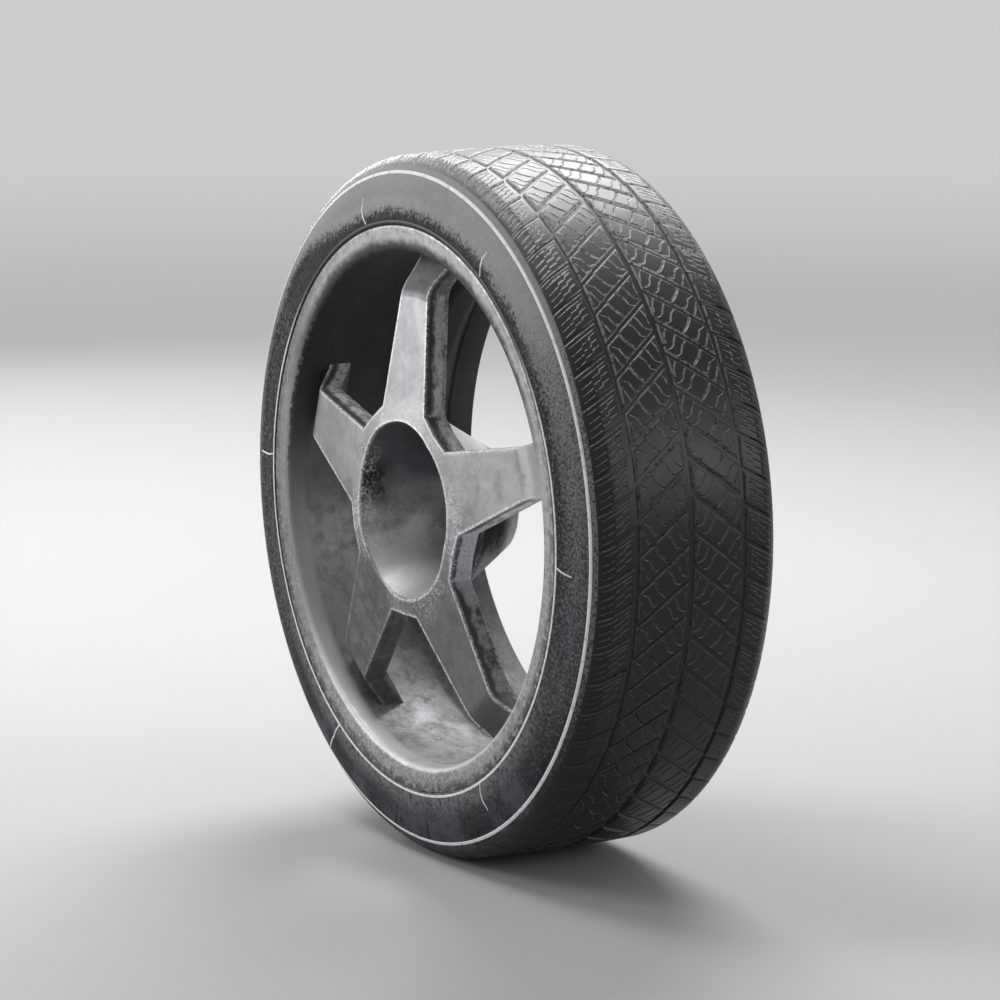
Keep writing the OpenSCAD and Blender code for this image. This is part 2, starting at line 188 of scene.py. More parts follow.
# Cutters: hollows in the spokes' backs, drive pins' holes and the valve's hole
POCKET_FROM, POCKET_TO, POCKET_WALL, POCKET_DEPTH, POCKET_FLARE = 130, 163, 8, 10.0, 0.8
PIN_CIRCLE_R, PIN_R, PIN_DEPTH, PIN_FLARE = 32, 6.0, 10.0, 0.5
VALVE_TURN, VALVE_Z, VALVE_R, VALVE_FROM, VALVE_TO = -18.0, 54.0, 5.65, 205.0, 225.0
ARC_STEPS, PIN_STEPS, VALVE_STEPS = 16, 32, 48
CUT_PAST = 1.0
# Rounding of the casting's edges in metres, and angles in degrees that count as edges
EDGE_BEVEL, BEVEL_STEPS, BEVEL_ANGLE, BARREL_ANGLE = 0.0013, 3, 32, 40
TURN_SIDES = 256


def spoke_angle(k):
    return radians(SPOKE_TURN + k * SPOKE_PITCH)


def face_at(s):
    return FACE_Z - (s - CUP_R) * FACE_SLOPE


def foot_at(s):
    return face_at(BEND_S) - (s - BEND_S) * FOOT_SLOPE


def half_width(s):
    if s < BEND_S:
        return BEND_HW + (BEND_S - s) * SIDE_SLOPE
    return BEND_HW + (FOOT_HW - BEND_HW) * ((s - BEND_S) / FOOT_RUN) ** 2


def barrel_profile():
    """Section of the barrel as (radius, z), once round."""
    outer_side = [(217.5, 66.4), (217.6, 82.0), (218.3, 84.4)]
    outer_side += arc(222.8, 84.4, 4.5, 180, 90, 5)[1:]
    outer_side += arc(233.8, 90.9, 2.0, -90, 90, 8)
    lip = arc(220.4, 84.9, 7.0, 90, 150, 8)
    lip += rounded([(214.34, 81.4), (213.5, 73.9), (213.5, 40)], 8)[1:]
    hidden = mirrored(outer_side) + [(217.5, -66), (200.3, -48), (200.3, -18), (217.5, -0.5)]
    well = rounded([(213.5, 30), (213.5, -4.7), (196.3, -21.3), (196.3, -44.7),
                    (213.5, -61.3), (213.5, -66)], 9, 5)
    return hidden + outer_side + lip + well + mirrored(lip)


def spider_stations():
    """Distance from the axle and front height along a spoke's bend and foot."""
    tilt = radians(FACE_TILT)
    reach = BEND_ROUND * tan(radians(FOOT_TILT - FACE_TILT) / 2)
    tangent = BEND_S - reach * cos(tilt)
    cx = tangent - BEND_ROUND * sin(tilt)
    cz = face_at(tangent) - BEND_ROUND * cos(tilt)
    stations = arc(cx, cz, BEND_ROUND, 90 - FACE_TILT, 90 - FOOT_TILT, 6)
    last = stations[-1][0]
    for i in range(1, FOOT_STEPS + 1):
        s = last + (FOOT_S - last) * i / FOOT_STEPS
        stations.append((s, foot_at(s)))
    return stations


class Casting:
    """The spider's mesh while it grows; points of two spokes at one place are one point."""

    def __init__(self):
        self.bm, self.seen = bmesh.new(), {}

    def vert(self, k, s, w, z):
        x, y = turned(s, w, spoke_angle(k))
        key = (round(x, 3), round(y, 3), round(z, 3))
        if key not in self.seen:
            self.seen[key] = self.bm.verts.new((x, y, z))
        return self.seen[key]

    def row(self, k, s, half, z):
        """Points across a spoke, from one side to the other."""
        return [self.vert(k, s, half * (2 * j / SPOKE_STRIPS - 1), z)
                for j in range(SPOKE_STRIPS + 1)]

    def face(self, corners):
        unique = [c for i, c in enumerate(corners) if c is not corners[i - 1]]
        if len(unique) > 2:
            self.bm.faces.new(unique)

    def quads(self, rows, order=1):
        for one, two in zip(rows, rows[1:]):
            for corners in zip(one, two, two[1:], one[1:]):
                self.face(corners[::order])

    def outline(self, k, drop):
        """A spoke's planar face from valley to valley, at the front or drop behind it."""
        s, w = polar(VALLEY_R, pi / SPOKES)
        edge = [self.vert(k, s, -w, face_at(s) - drop),
                self.vert(k, ROOT_S, -ROOT_HW, face_at(ROOT_S) - drop)]
        first, z = spider_stations()[0]
        edge += self.row(k, first, half_width(first), z - drop)
        return edge + [self.vert(k, ROOT_S, ROOT_HW, face_at(ROOT_S) - drop),
                       self.vert(k, s, w, face_at(s) - drop)]

    def strips(self, k, drop):
        """Rows of points over the bend and foot, the last one round the barrel."""
        rows = [self.row(k, s, half_width(s), z - drop) for s, z in spider_stations()]
        end = []
        for j in range(SPOKE_STRIPS + 1):
            w = half_width(FOOT_END) * (2 * j / SPOKE_STRIPS - 1)
            s = sqrt(FOOT_R ** 2 - w * w)
            end.append(self.vert(k, s, w, foot_at(s) - drop))
        return rows + [end]

    def hub(self, k, mouth, phis):
        """Cup, pad and cone of one sector; returns the ring where the cone meets the spoke."""
        rings = [mouth] + [[self.vert(k, *polar(r, p), z) for p in phis] for r, z in CUP + CONE]
        top = FACE_Z - SPOKE_T + CUP_R * FACE_SLOPE
        under = []
        for p in phis:
            r = (PAD_R + CONE_FLARE * (top - PAD_Z)) / (1 + CONE_FLARE * FACE_SLOPE * cos(p))
            s, w = polar(r, p)
            under.append(self.vert(k, s, w, face_at(s) - SPOKE_T))
        rings.append(under)
        for one, two in zip(rings, rings[1:]):
            for i in range(CUP_SIDES):
                self.face([one[i], one[i + 1], two[i + 1], two[i]])
        return under

    def sector(self, k):
        """One spoke with its fifth of the hub."""
        valley = pi / SPOKES
        phis = [-valley + 2 * valley * i / CUP_SIDES for i in range(CUP_SIDES + 1)]
        mouth = [self.vert(k, *polar(CUP_R, p), face_at(CUP_R * cos(p))) for p in phis]
        front = self.outline(k, 0.0)
        self.face(front + mouth[::-1])
        under = self.hub(k, mouth, phis)
        rear = self.outline(k, SPOKE_T)
        self.face(under + rear[::-1])
        top, low = self.strips(k, 0.0), self.strips(k, SPOKE_T)
        self.quads(top)
        self.quads(low, -1)
        for j, order in ((0, 1), (-1, -1)):
            self.quads([[row[j] for row in rows] for rows in (top, low)], order)
        self.quads([top[-1], low[-1]])
        for i, j in ((0, 1), (1, 2), (-3, -2), (-2, -1)):
            self.face([front[i], rear[i], rear[j], front[j]])


def build_spider():
    """Hub, cup and five spokes as one closed mesh, faces planar where the casting is flat."""
    casting = Casting()
    for k in range(SPOKES):
        casting.sector(k)
    bm = casting.bm
    bmesh.ops.recalc_face_normals(bm, faces=bm.faces)
    for edge in bm.edges:
        a, b = edge.verts
        turn = degrees(atan2(a.co.y + b.co.y, a.co.x + b.co.x)) - SPOKE_TURN
        valley = abs(turn % SPOKE_PITCH - SPOKE_PITCH / 2) < 0.01
        if valley and all(abs(f.normal.z) > 0.9 for f in edge.link_faces):
            edge.smooth = False
    for v, place in zip(bm.verts, to_row([v.co for v in bm.verts])):
        v.co = place
    mesh = bpy.data.meshes.new("rim_spider")
    bm.to_mesh(mesh)
    bm.free()
    return linked("rim_spider", mesh)


def prism(outline, z_low, z_high, place, flare=0.0):
    """Closed prism over a convex outline, with its lower end wider by flare; place maps it."""
    o = np.array(outline, float)
    centre = o.mean(axis=0)

    def ring(grow, z):
        d = o - centre
        size = np.linalg.norm(d, axis=1, keepdims=True)
        return [place(x, y, z) for x, y in centre + d * (1 + grow / size)]

    rings = [ring(flare, z_low)]
    if flare:
        rings.append(ring(flare, z_low + CUT_PAST))
        rings.append(ring(0, z_low + CUT_PAST + flare))
    rings.append(ring(0, z_high))
    return [p for r in rings for p in r], tube_faces(len(rings), len(o))


def joined(parts):
    points, faces = [], []
    for p, f in parts:
        faces += [tuple(i + len(points) for i in face) for face in f]
        points += p
    return points, faces


def pocket_cutter(k):
    """Hollow in the back of one spoke, square to its sloping face."""
    a, tilt = spoke_angle(k), radians(FACE_TILT)
    inner, outer = (half_width(s) - POCKET_WALL for s in (POCKET_FROM, POCKET_TO))
    outline = (arc(POCKET_TO, 0, outer, -90, 90, ARC_STEPS)
               + arc(POCKET_FROM, 0, inner, 90, 270, ARC_STEPS))

    def place(s, w, z):
        out, up = turned(s - CUP_R, z, -tilt)
        return (*turned(CUP_R + out, w, a), FACE_Z + up)

    return prism(outline, -SPOKE_T - CUT_PAST, -SPOKE_T + POCKET_DEPTH, place, POCKET_FLARE)


def pin_cutter(k):
    circle = arc(*polar(PIN_CIRCLE_R, spoke_angle(k)), PIN_R, 0, 360, PIN_STEPS)[:-1]
    return prism(circle, PAD_Z - CUT_PAST, PAD_Z + PIN_DEPTH, lambda *place: place, PIN_FLARE)


def valve_cutter():
    circle = arc(0, 0, VALVE_R, 0, 360, VALVE_STEPS)[:-1]

    def place(x, y, z):
        return (*turned(z, y, radians(VALVE_TURN)), VALVE_Z + x)

    return prism(circle, VALVE_FROM, VALVE_TO, place)


def cut(piece, cutter_parts, name):
    """Takes the cutters out of the piece's mesh for good."""
    cutter = new_object(name, *joined(cutter_parts))
    outward_normals(cutter)
    boolean = piece.modifiers.new("cut", "BOOLEAN")
    boolean.operation, boolean.solver, boolean.object = "DIFFERENCE", "EXACT", cutter
    apply_modifiers(piece)
    bpy.data.objects.remove(cutter)


def apply_modifiers(piece):
    """Makes the piece's mesh what its modifiers make of it."""
    bpy.context.view_layer.update()
    evaluated = piece.evaluated_get(bpy.context.evaluated_depsgraph_get())
    mesh = bpy.data.meshes.new_from_object(evaluated)
    piece.modifiers.clear()
    piece.data = mesh
    mesh.name = piece.name


def shade_flat_faces(piece):
    """Shading that keeps wide faces flat up to their rounded edges."""
    weighted = piece.modifiers.new("flat_faces", "WEIGHTED_NORMAL")
    weighted.mode, weighted.weight, weighted.keep_sharp = "FACE_AREA", 100, True
    apply_modifiers(piece)


def make_rim():
    """The casting as two pieces: hub with spokes, and barrel."""
    spider = build_spider()
    cutters = [pocket_cutter(k) for k in range(SPOKES)] + [pin_cutter(k) for k in range(SPOKES)]
    cut(spider, cutters, "spider_cutter")
    bevel = spider.modifiers.new("edges", "BEVEL")
    bevel.width, bevel.segments = EDGE_BEVEL, BEVEL_STEPS
    bevel.limit_method, bevel.angle_limit = "ANGLE", radians(BEVEL_ANGLE)
    bevel.miter_outer = "MITER_ARC"
    spider.data.polygons.foreach_set("use_smooth", [True] * len(spider.data.polygons))
    shade_flat_faces(spider)
    points, faces = lathe(barrel_profile(), TURN_SIDES)
    barrel = new_object("rim_barrel", points, [f[::-1] for f in faces])
    outward_normals(barrel)
    cut(barrel, [valve_cutter()], "valve_cutter")
    barrel.data.set_sharp_from_angle(angle=radians(BARREL_ANGLE))
    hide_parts("rim")
    for piece in (spider, barrel):
        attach(piece, "wheel")
    return spider, barrel


# Tyre. Across it t is the distance from its middle; turns are in degrees round the axle.
# The shoulder is a quarter of an ellipse, SHOULDER_RUN across and SHOULDER_RISE high, that
# starts at TREAD_HALF and ends at SHOULDER_R, where the sidewall goes on to its base.
CROWN_R, CROWN_DROP, TREAD_HALF = 294.0, 1.5, 67.5
SHOULDER_R, SHOULDER_RISE, SHOULDER_RUN = 259.5, 33.0, 21.5
WALL_Z = TREAD_HALF + SHOULDER_RUN
BASE_R, BASE_Z, BULGE = 236.5, 93.0, 0.7
WALL_STEPS = 8
GROOVE_DEPTH, GROOVE_RUNOUT = 1.9, 14.0
SHOULDER_STEP, STEP_RUNOUT = 0.7, 9
PITCHES = 64
PITCH = 2 * pi * CROWN_R / PITCHES
SIDE_MIDDLE = 49.8
TILE_END = 81.6
# Sipes fade out before SIPE_END, and are shallower off the blocks' tops
SIPE_END, SIPE_FADE, BLOCK_TOP, OFF_TOP = 80.5, 2.0, 0.02, 0.6
OUTBOARD_TURN, INBOARD_TURN = 1.65, 3.63
BLOCK_LEAD = 2.30
LUG_LEAD = 1.5
LUG_DROP = 41.4 - PITCH
TYRE_WELD, TYRE_ANGLE = 2e-5, 31


def crown_at(t):
    if t <= TREAD_HALF:
        return CROWN_R - CROWN_DROP * (t / TREAD_HALF) ** 2
    a = asin(min(1.0, (t - TREAD_HALF) / SHOULDER_RUN))
    return SHOULDER_R + SHOULDER_RISE * cos(a)


def floor_at(t):
    """Bottom of the grooves, which run out on the rounded shoulder."""
    left = max(0.0, min(1.0, (TILE_END - t) / GROOVE_RUNOUT))
    return crown_at(t) - SHOULDER_STEP - (GROOVE_DEPTH - SHOULDER_STEP) * left


# Block and lug edges in millimetres: across the tread, and along it from the corner
BLOCK_CORNER = (2.8, 0.0)
BLOCK_EDGE = [(33.2, 22.9), (34.7, 25.0), (45.2, 32.8)]
BLOCK_OUTER, OUTER_FROM, OUTER_TO, OUTER_ROUND = 47.8, 34.8, 44.0, 5.0
BLOCK_TAIL = 34.9
BLOCK_SIPES = [
    [(7.9, 5.6), (5.4, 10.2), (4.3, 13.7), (4.3, 17.6)],
    [(15.6, 11.4), (12.8, 15.9), (11.1, 20.1), (8.3, 22.2), (5.2, 23.2)],
    [(22.7, 17.3), (19.5, 20.1), (17.4, 24.3), (16, 27.5), (12.8, 28.9), (9.4, 29.0)],
    [(44.2, 34.9), (39.3, 37.4), (37.2, 42.3), (35, 45.5), (30.1, 44.3)],
    [(46.0, 41.2), (44.2, 45.1), (42.4, 49.3), (40.7, 51.8), (36.9, 50.3)],
]
BLOCK_NOTCH = [(34.7, 25.0), (32.2, 30), (28.7, 34.5), (25.2, 37.7), (22.6, 38.95)]
LUG_START, LUG_MIDDLE, LUG_END = 52.4, 68.0, 80.9
LUG_TAIL_X, LUG_TAIL_Y = 51.2, -0.6
LUG_SLOPE = tan(radians(28.4))
LUG_STEPS = [(78.8, 2.0), (71.0, 1.6), (69.6, -0.5), (62.4, -0.5), (61.0, -2.5), (56.0, -2.5)]
# Sipes as line, half width and depth, and edges as rounding and wall width
SIPE, NOTCH, LUG_SIPE = (0.9, 0.6), (1.3, 1.2), (0.8, 0.55)
BLOCK_ROUND, LUG_ROUND = (1.5, 0.5), (1.1, 0.4)


def lug_line(x, y=0.0):
    """A point that lies y along the tyre from the lug's slanted front edge."""
    return x, y + (x - LUG_START) * LUG_SLOPE


LUG_SIPES = [[lug_line(x, y + off) for x, off in LUG_STEPS] for y in (9.2, 15.0, 20.8)]
LUG_SIPES.append([lug_line(x, 3.7) for x in (79.0, 67.0, 55.5)])


# Keeps the mitre of a sharp corner from shooting out
MITRE = 0.35


def offset_line(line, d, closed=False):
    """The line moved sideways to its left by d, with mitred corners."""
    p = np.array(line, float)
    n = len(p)
    out = []
    for i in range(n):
        if closed:
            before, after = p[i] - p[i - 1], p[(i + 1) % n] - p[i]
        else:
            before = p[i] - p[i - 1] if i else p[1] - p[0]
            after = p[i + 1] - p[i] if i < n - 1 else p[-1] - p[-2]
        u, v = unit(before), unit(after)
        nu, nv = np.array([-u[1], u[0]]), np.array([-v[1], v[0]])
        m = nu + nv
        m = m / max(MITRE, float(m @ nu))
        out.append(tuple(p[i] + m * d))
    return out


def dense(line, longest=3.2):
    """The same line with its long runs divided, so that it can follow the curved shoulder."""
    out = [line[0]]
    for (x0, y0), (x1, y1) in zip(line, line[1:]):
        n = max(1, ceil(hypot(x1 - x0, y1 - y0) / longest))
        out += [(x0 + (x1 - x0) * i / n, y0 + (y1 - y0) * i / n) for i in range(1, n + 1)]
    return out


def segment_distance(q, line, closed=False):
    """Shortest distance from each point of q to the line."""
    p = np.array(line, float)
    best = np.full(len(q), 1e9)
    last = len(p) if closed else len(p) - 1
    for i in range(last):
        a, b = p[i], p[(i + 1) % len(p)]
        ab = b - a
        f = np.clip(((q - a) @ ab) / (ab @ ab), 0, 1)
        best = np.minimum(best, np.linalg.norm(q - (a + f[:, None] * ab), axis=1))
    return best


def inside(q, loop):
    p = np.array(loop, float)
    hit = np.zeros(len(q), bool)
    for i in range(len(p)):
        (x0, y0), (x1, y1) = p[i - 1], p[i]
        if y0 == y1:
            continue
        crosses = (y0 > q[:, 1]) != (y1 > q[:, 1])
        x = x0 + (q[:, 1] - y0) * (x1 - x0) / (y1 - y0)
        hit ^= crosses & (q[:, 0] < x)
    return hit


# How far extra points keep from edges and sipes, and what counts as no length or area
CLEAR, SIPE_CLEAR, TINY = 2, 2.2, 1e-4
# Top edge, rounding and foot of a block: share of its rounding, and of the groove's depth
EDGE_SHARE = 0.4
EDGE_DEPTHS = [1.0, 0.45, 0.13, 0.0]


class Tile:
    """One pitch of the pattern, triangulated flat and then laid on the tyre."""

    def __init__(self):
        self.points, self.edges, self.loops, self.sipes = [], [], [], []

    def line(self, points, closed=False):
        start = len(self.points)
        self.points += [tuple(map(float, p)) for p in points]
        n = len(points)
        self.edges += [(start + i, start + i + 1) for i in range(n - 1)]
        if closed:
            self.edges.append((start + n - 1, start))

    def block(self, loop, edge, wall):
        """A raised block: top edge, its rounded-off side and the wall's foot."""
        turning = sum((x1 - x0) * (y1 + y0) for (x0, y0), (x1, y1)
                      in zip(loop, loop[1:] + loop[:1]))
        inward = 1.0 if turning < 0 else -1.0
        self.loops.append(loop)
        for d in (edge, edge * EDGE_SHARE, 0.0, -wall):
            self.line(offset_line(loop, inward * d, True), True)
        self.edge, self.wall = edge, wall

    def sipe(self, line, half, depth):
        """A narrow cut that tapers to nothing at its ends."""
        p = [np.array(q, float) for q in line]
        self.sipes.append((line, half, depth))
        self.line(line)
        tips = [tuple(end + unit(end - before) * half)
                for end, before in ((p[0], p[1]), (p[-1], p[-2]))]
        for side in (half, -half):
            self.line([tips[0]] + offset_line(line, side) + [tips[1]])

    def heights(self, q):
        """How far down from the crown each point lies, and its share of the groove's depth."""
        share = np.ones(len(q))
        for loop in self.loops:
            d = segment_distance(q, loop, True)
            d = np.where(inside(q, loop), d, -d)
            steps = [-self.wall, 0.0, self.edge * EDGE_SHARE, self.edge]
            share = np.minimum(share, np.interp(d, steps, EDGE_DEPTHS))
        down = np.zeros(len(q))
        for line, half, depth in self.sipes:
            d = segment_distance(q, line)
            down = np.maximum(down, depth * np.clip(1 - d / half, 0, 1))
        return share, down

    def solve(self, domain, spacing=5.5):
        """Triangles inside the domain, with extra points where the block is plain."""
        self.line(domain, True)
        d = np.array(domain, float)
        low, high = d.min(axis=0), d.max(axis=0)
        q = np.array([(x, y) for x in np.arange(low[0] + CLEAR, high[0], spacing)
                      for y in np.arange(low[1] + CLEAR, high[1], spacing)])
        keep = inside(q, domain) & (segment_distance(q, domain, True) > CLEAR)
        for loop in self.loops:
            keep &= segment_distance(q, loop, True) > CLEAR
        for line, _, _ in self.sipes:
            keep &= segment_distance(q, line) > SIPE_CLEAR
        self.points += [tuple(p) for p in q[keep]]
        result = delaunay_2d_cdt([Vector(p) for p in self.points], self.edges, [], 0, TINY)
        verts, faces = np.array([tuple(v) for v in result[0]]), result[2]
        middles = np.array([verts[list(f)].mean(axis=0) for f in faces])
        a, b, c = (verts[[f[i] for f in faces]] for i in range(3))
        area = np.abs((b - a)[:, 0] * (c - a)[:, 1] - (b - a)[:, 1] * (c - a)[:, 0]) / 2
        good = inside(middles, domain) & (area > TINY)
        faces = [f for f, ok in zip(faces, good) if ok]
        used = sorted({i for f in faces for i in f})
        index = {old: new for new, old in enumerate(used)}
        return verts[used], [tuple(index[i] for i in f) for f in faces]


def slope_of(one, two):
    return (two[1] - one[1]) / (two[0] - one[0])


def block_loop():
    """Edge of a centre block: slanted front, rounded outer corner and the next block's slant."""
    low = PITCH - 2 * BLOCK_LEAD
    top = [BLOCK_CORNER] + BLOCK_EDGE
    outer = [BLOCK_EDGE[-1], (BLOCK_OUTER, OUTER_FROM), (BLOCK_OUTER, OUTER_TO)]
    corner = rounded(outer, OUTER_ROUND)[1:-1]
    bottom = [(x, y + low) for x, y in top + [(BLOCK_OUTER, BLOCK_TAIL)]]
    return top + corner + bottom[::-1]


def block_tile(other_centre, other_side):
    """One pitch from the tyre's middle to SIDE_MIDDLE, with the neighbours' points on its sides."""
    tile = Tile()
    tile.block(block_loop(), *BLOCK_ROUND)
    for line in BLOCK_SIPES:
        tile.sipe(line, *SIPE)
    tile.sipe(BLOCK_NOTCH, *NOTCH)
    inner, outer = slope_of(BLOCK_CORNER, BLOCK_EDGE[0]), slope_of(*BLOCK_EDGE[1:])
    last_x, last_y = BLOCK_EDGE[-1]
    top = [(0.0, -BLOCK_CORNER[0] * inner)] + BLOCK_EDGE
    top.append((SIDE_MIDDLE, last_y + outer * (SIDE_MIDDLE - last_x)))
    top = [(x, y - BLOCK_LEAD) for x, y in top]
    bottom = [(x, y + PITCH) for x, y in top]
    centre = top[0][1] + (other_centre - top[0][1]) % PITCH
    side = top[-1][1] + (other_side - top[-1][1]) % PITCH
    domain = top + [(SIDE_MIDDLE, side)] + bottom[::-1] + [(0.0, centre)]
    return tile, *tile.solve(domain), top[0][1], top[-1][1]


def lug_tile(block_side):
    """One pitch from SIDE_MIDDLE over the shoulder to the sidewall."""
    tile = Tile()
    low = PITCH - 2 * LUG_LEAD

    def moved(line):
        return dense([(x, y + LUG_DROP) for x, y in line])

    top = [lug_line(LUG_START), lug_line(LUG_MIDDLE), lug_line(LUG_END)]
    bottom = [lug_line(LUG_END, low), lug_line(LUG_MIDDLE, low), (LUG_TAIL_X, low + LUG_TAIL_Y)]
    tile.block(moved(top + bottom + top[:1])[:-1], *LUG_ROUND)
    for line in LUG_SIPES:
        tile.sipe(moved(line), *LUG_SIPE)
    start = moved([lug_line(x, -LUG_LEAD) for x in (SIDE_MIDDLE, LUG_MIDDLE, TILE_END)])
    finish = [(x, y + PITCH) for x, y in start]
    side = start[0][1] + (block_side - start[0][1]) % PITCH
    rim = [(TILE_END, start[-1][1] + PITCH * j / 4) for j in (1, 2, 3)]
    domain = start + rim + finish[::-1] + [(SIDE_MIDDLE, side)]
    return tile, *tile.solve(domain), start[0][1], start[-1][1]


def lay(tile, verts, side, turn):
    """Tile points on the tyre for every pitch of one half."""
    share, down = tile.heights(verts)
    t = verts[:, 0]
    top = np.array([crown_at(x) for x in t])
    floor = np.minimum(top, np.array([floor_at(x) for x in t]))
    down = down * np.where(share < BLOCK_TOP, 1.0, OFF_TOP)
    r = top + (floor - top) * share - down * np.clip((SIPE_END - t) / SIPE_FADE, 0, 1)
    out = []
    for k in range(PITCHES):
        a = radians(turn) + (k * PITCH - verts[:, 1]) / CROWN_R
        out.append(np.c_[r * np.cos(a), r * np.sin(a), side * t])
    return out


def tyre_half(side, turn, other_turn):
    """Tread, shoulder and sidewall of one half. Returns points and outward faces."""
    order = 1 if side < 0 else -1
    other = radians(turn - other_turn) * CROWN_R
    *_, centre_here, block_end = block_tile(0.0, 0.0)
    lug = lug_tile(block_end)
    block = block_tile(centre_here + other, lug[3])
    points, faces = [], []
    for tile, verts, tris, *_ in (block, lug):
        for ring in lay(tile, verts, side, turn):
            start = len(points)
            points += ring.tolist()
            faces += [tuple(i + start for i in f)[::order] for f in tris]
    phase = radians(turn) - lug[4] / CROWN_R
    profile = sidewall_profile()
    wall, wall_faces = lathe(profile, PITCHES * 4, closed=False, phase=phase)
    # The liner's last ring is turned back, so that the rings of both halves meet
    twist = phase % (2 * pi / (PITCHES * 4))
    for i in range(len(profile) - 1, len(wall), len(profile)):
        x, y, z = wall[i]
        wall[i] = (*turned(x, y, -twist), z)
    start = len(points)
    points += [(x, y, side * z) for x, y, z in wall]
    faces += [tuple(i + start for i in f[::order]) for f in wall_faces]
    return points, faces


def skin_at(r):
    """How far the sidewall's skin lies from the tyre's middle at radius r."""
    if r > SHOULDER_R:
        return TREAD_HALF + SHOULDER_RUN * sin(acos((r - SHOULDER_R) / SHOULDER_RISE))
    f = (SHOULDER_R - r) / (SHOULDER_R - BASE_R)
    return WALL_Z + (BASE_Z - WALL_Z) * f + BULGE * sin(pi * f)


def sidewall_profile():
    """From the tiles' outer end over the sidewall, round the bead and up to the liner."""
    wall = []
    a0 = asin((TILE_END - TREAD_HALF) / SHOULDER_RUN)
    near = [a0 + radians(x) for x in (0, 2.5, 5, 8)]
    rest = (pi / 2 - near[-1]) / WALL_STEPS
    for a in near + [near[-1] + rest * i for i in range(1, WALL_STEPS + 1)]:
        step = SHOULDER_STEP * max(0.0, 1 - (a - a0) / radians(STEP_RUNOUT))
        wall.append((SHOULDER_R + SHOULDER_RISE * cos(a) - step,
                     TREAD_HALF + SHOULDER_RUN * sin(a)))
    for i in range(1, WALL_STEPS + 1):
        r = SHOULDER_R + (BASE_R - SHOULDER_R) * i / WALL_STEPS
        wall.append((r, skin_at(r)))
    bead = arc(233.8, 90.9, 2.2, 40, -90, 6)
    heel = arc(223.0, 84.2, 4.5, 90, 180, 5)
    return wall + bead + heel + [(218.5, 73.9), (226.0, 73.9), (240.0, 80.0), (262.0, 79.0),
                                 (276.0, 70.0), (280.0, 55.0), (280.0, 0.0)]


def make_tyre():
    points, faces = joined([tyre_half(1, OUTBOARD_TURN, INBOARD_TURN),
                            tyre_half(-1, INBOARD_TURN, OUTBOARD_TURN)])
    tyre = new_object("tyre_body", points, faces)
    outward_normals(tyre, weld=TYRE_WELD)
    tyre.data.shade_smooth()
    tyre.data.set_sharp_from_angle(angle=radians(TYRE_ANGLE))
    shade_flat_faces(tyre)
    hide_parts("tyre")
    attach(tyre, "wheel")
    return tyre


# White rings and ticks on the sidewalls. The marks at the back lie flatter, so they stay
# inside the tyre's width. A tick is a line of radii and degrees.
MARK_PROUD = 0.35
BACK_MARK_PROUD = 0.1
TICK_ROOT, RING_ROOT = 0.4, 0.5
# A ring's section is the upper part of a half wave. A tick has a shoulder on each side,
# given as shares of its half width and height.
WAVE_START, WAVE_PART = 0.15, 0.7
TICK_SHOULDER = 0.8, 0.7
SLOPE_REACH = 0.05
RINGS = [(277.3, 280.0), (237.3, 239.4)]
RING_STEPS, TICK_STEPS = 6, 4
TICK_WIDTH, TICK_TIP = 1.7, 0.75
TICKS = [
    [(238.6, 107.0), (246.0, 108.3), (254.0, 109.0), (263.5, 108.2)],
    [(238.6, 60.2), (245.0, 61.3), (252.0, 61.9), (260.0, 61.6)],
    [(238.6, 177.3), (248.0, 177.8), (258.0, 178.1), (269.0, 178.0)],
    [(238.6, -120.6), (250.0, -121.7), (262.0, -122.5), (275.0, -122.9)],
    [(238.6, -60.4), (246.0, -61.5), (253.0, -61.9), (261.5, -61.6)],
    [(238.6, -2.1), (245.0, -2.6), (251.0, -2.9), (258.0, -3.1)],
]


def ring_band(inner, outer, proud, side):
    """A raised band with rounded edges lying on the sidewall."""
    profile = [(inner, skin_at(inner) - RING_ROOT)]
    for i in range(RING_STEPS + 1):
        r = inner + (outer - inner) * i / RING_STEPS
        rise = proud * sin(pi * (WAVE_START + WAVE_PART * i / RING_STEPS))
        slope = (skin_at(r + SLOPE_REACH) - skin_at(r - SLOPE_REACH)) / (2 * SLOPE_REACH)
        size = hypot(1, slope)
        profile.append((r - rise * slope / size, skin_at(r) + rise / size))
    profile.append((outer, skin_at(outer) - RING_ROOT))
    points, faces = lathe(profile, TURN_SIDES)
    return [(x, y, side * z) for x, y, z in points], faces


def tick(line, proud, side):
    """One short curved stroke, pointed a little at its outer end."""
    fine = [[a + (b - a) * j / TICK_STEPS for a, b in zip(one, two)]
            for one, two in zip(line, line[1:]) for j in range(TICK_STEPS)] + [line[-1]]
    w, h = TICK_SHOULDER[0], TICK_SHOULDER[1] * proud
    section = [(-1, -TICK_ROOT), (-w, h), (0, proud), (w, h), (1, -TICK_ROOT)]
    points = []
    for i, (r, a) in enumerate(fine):
        half = TICK_WIDTH / 2 * (1.0 if i < len(fine) - 2 else TICK_TIP)
        for across, rise in section:
            b = radians(a) + across * half / r
            points.append((*polar(r, b), side * (skin_at(r) + rise)))
    return points, tube_faces(len(fine), len(section))


def make_marks():
    parts = []
    for side in (1, -1):
        proud = MARK_PROUD if side > 0 else BACK_MARK_PROUD
        parts += [ring_band(*ring, proud, side) for ring in RINGS]
        parts += [tick(line, proud, side) for line in TICKS]
    marks = new_object("sidewall_marks", *joined(parts))
    outward_normals(marks)
    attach(marks, "wheel")
    return marks


# Valve core's spring
SPRING_R = 1.15
SPRING_WIRE = 0.4
SPRING_TURNS = 6
SPRING_STEPS = 20
DEAD_TURN = 1.15 * SPRING_WIRE
WIRE_SIDES = 8


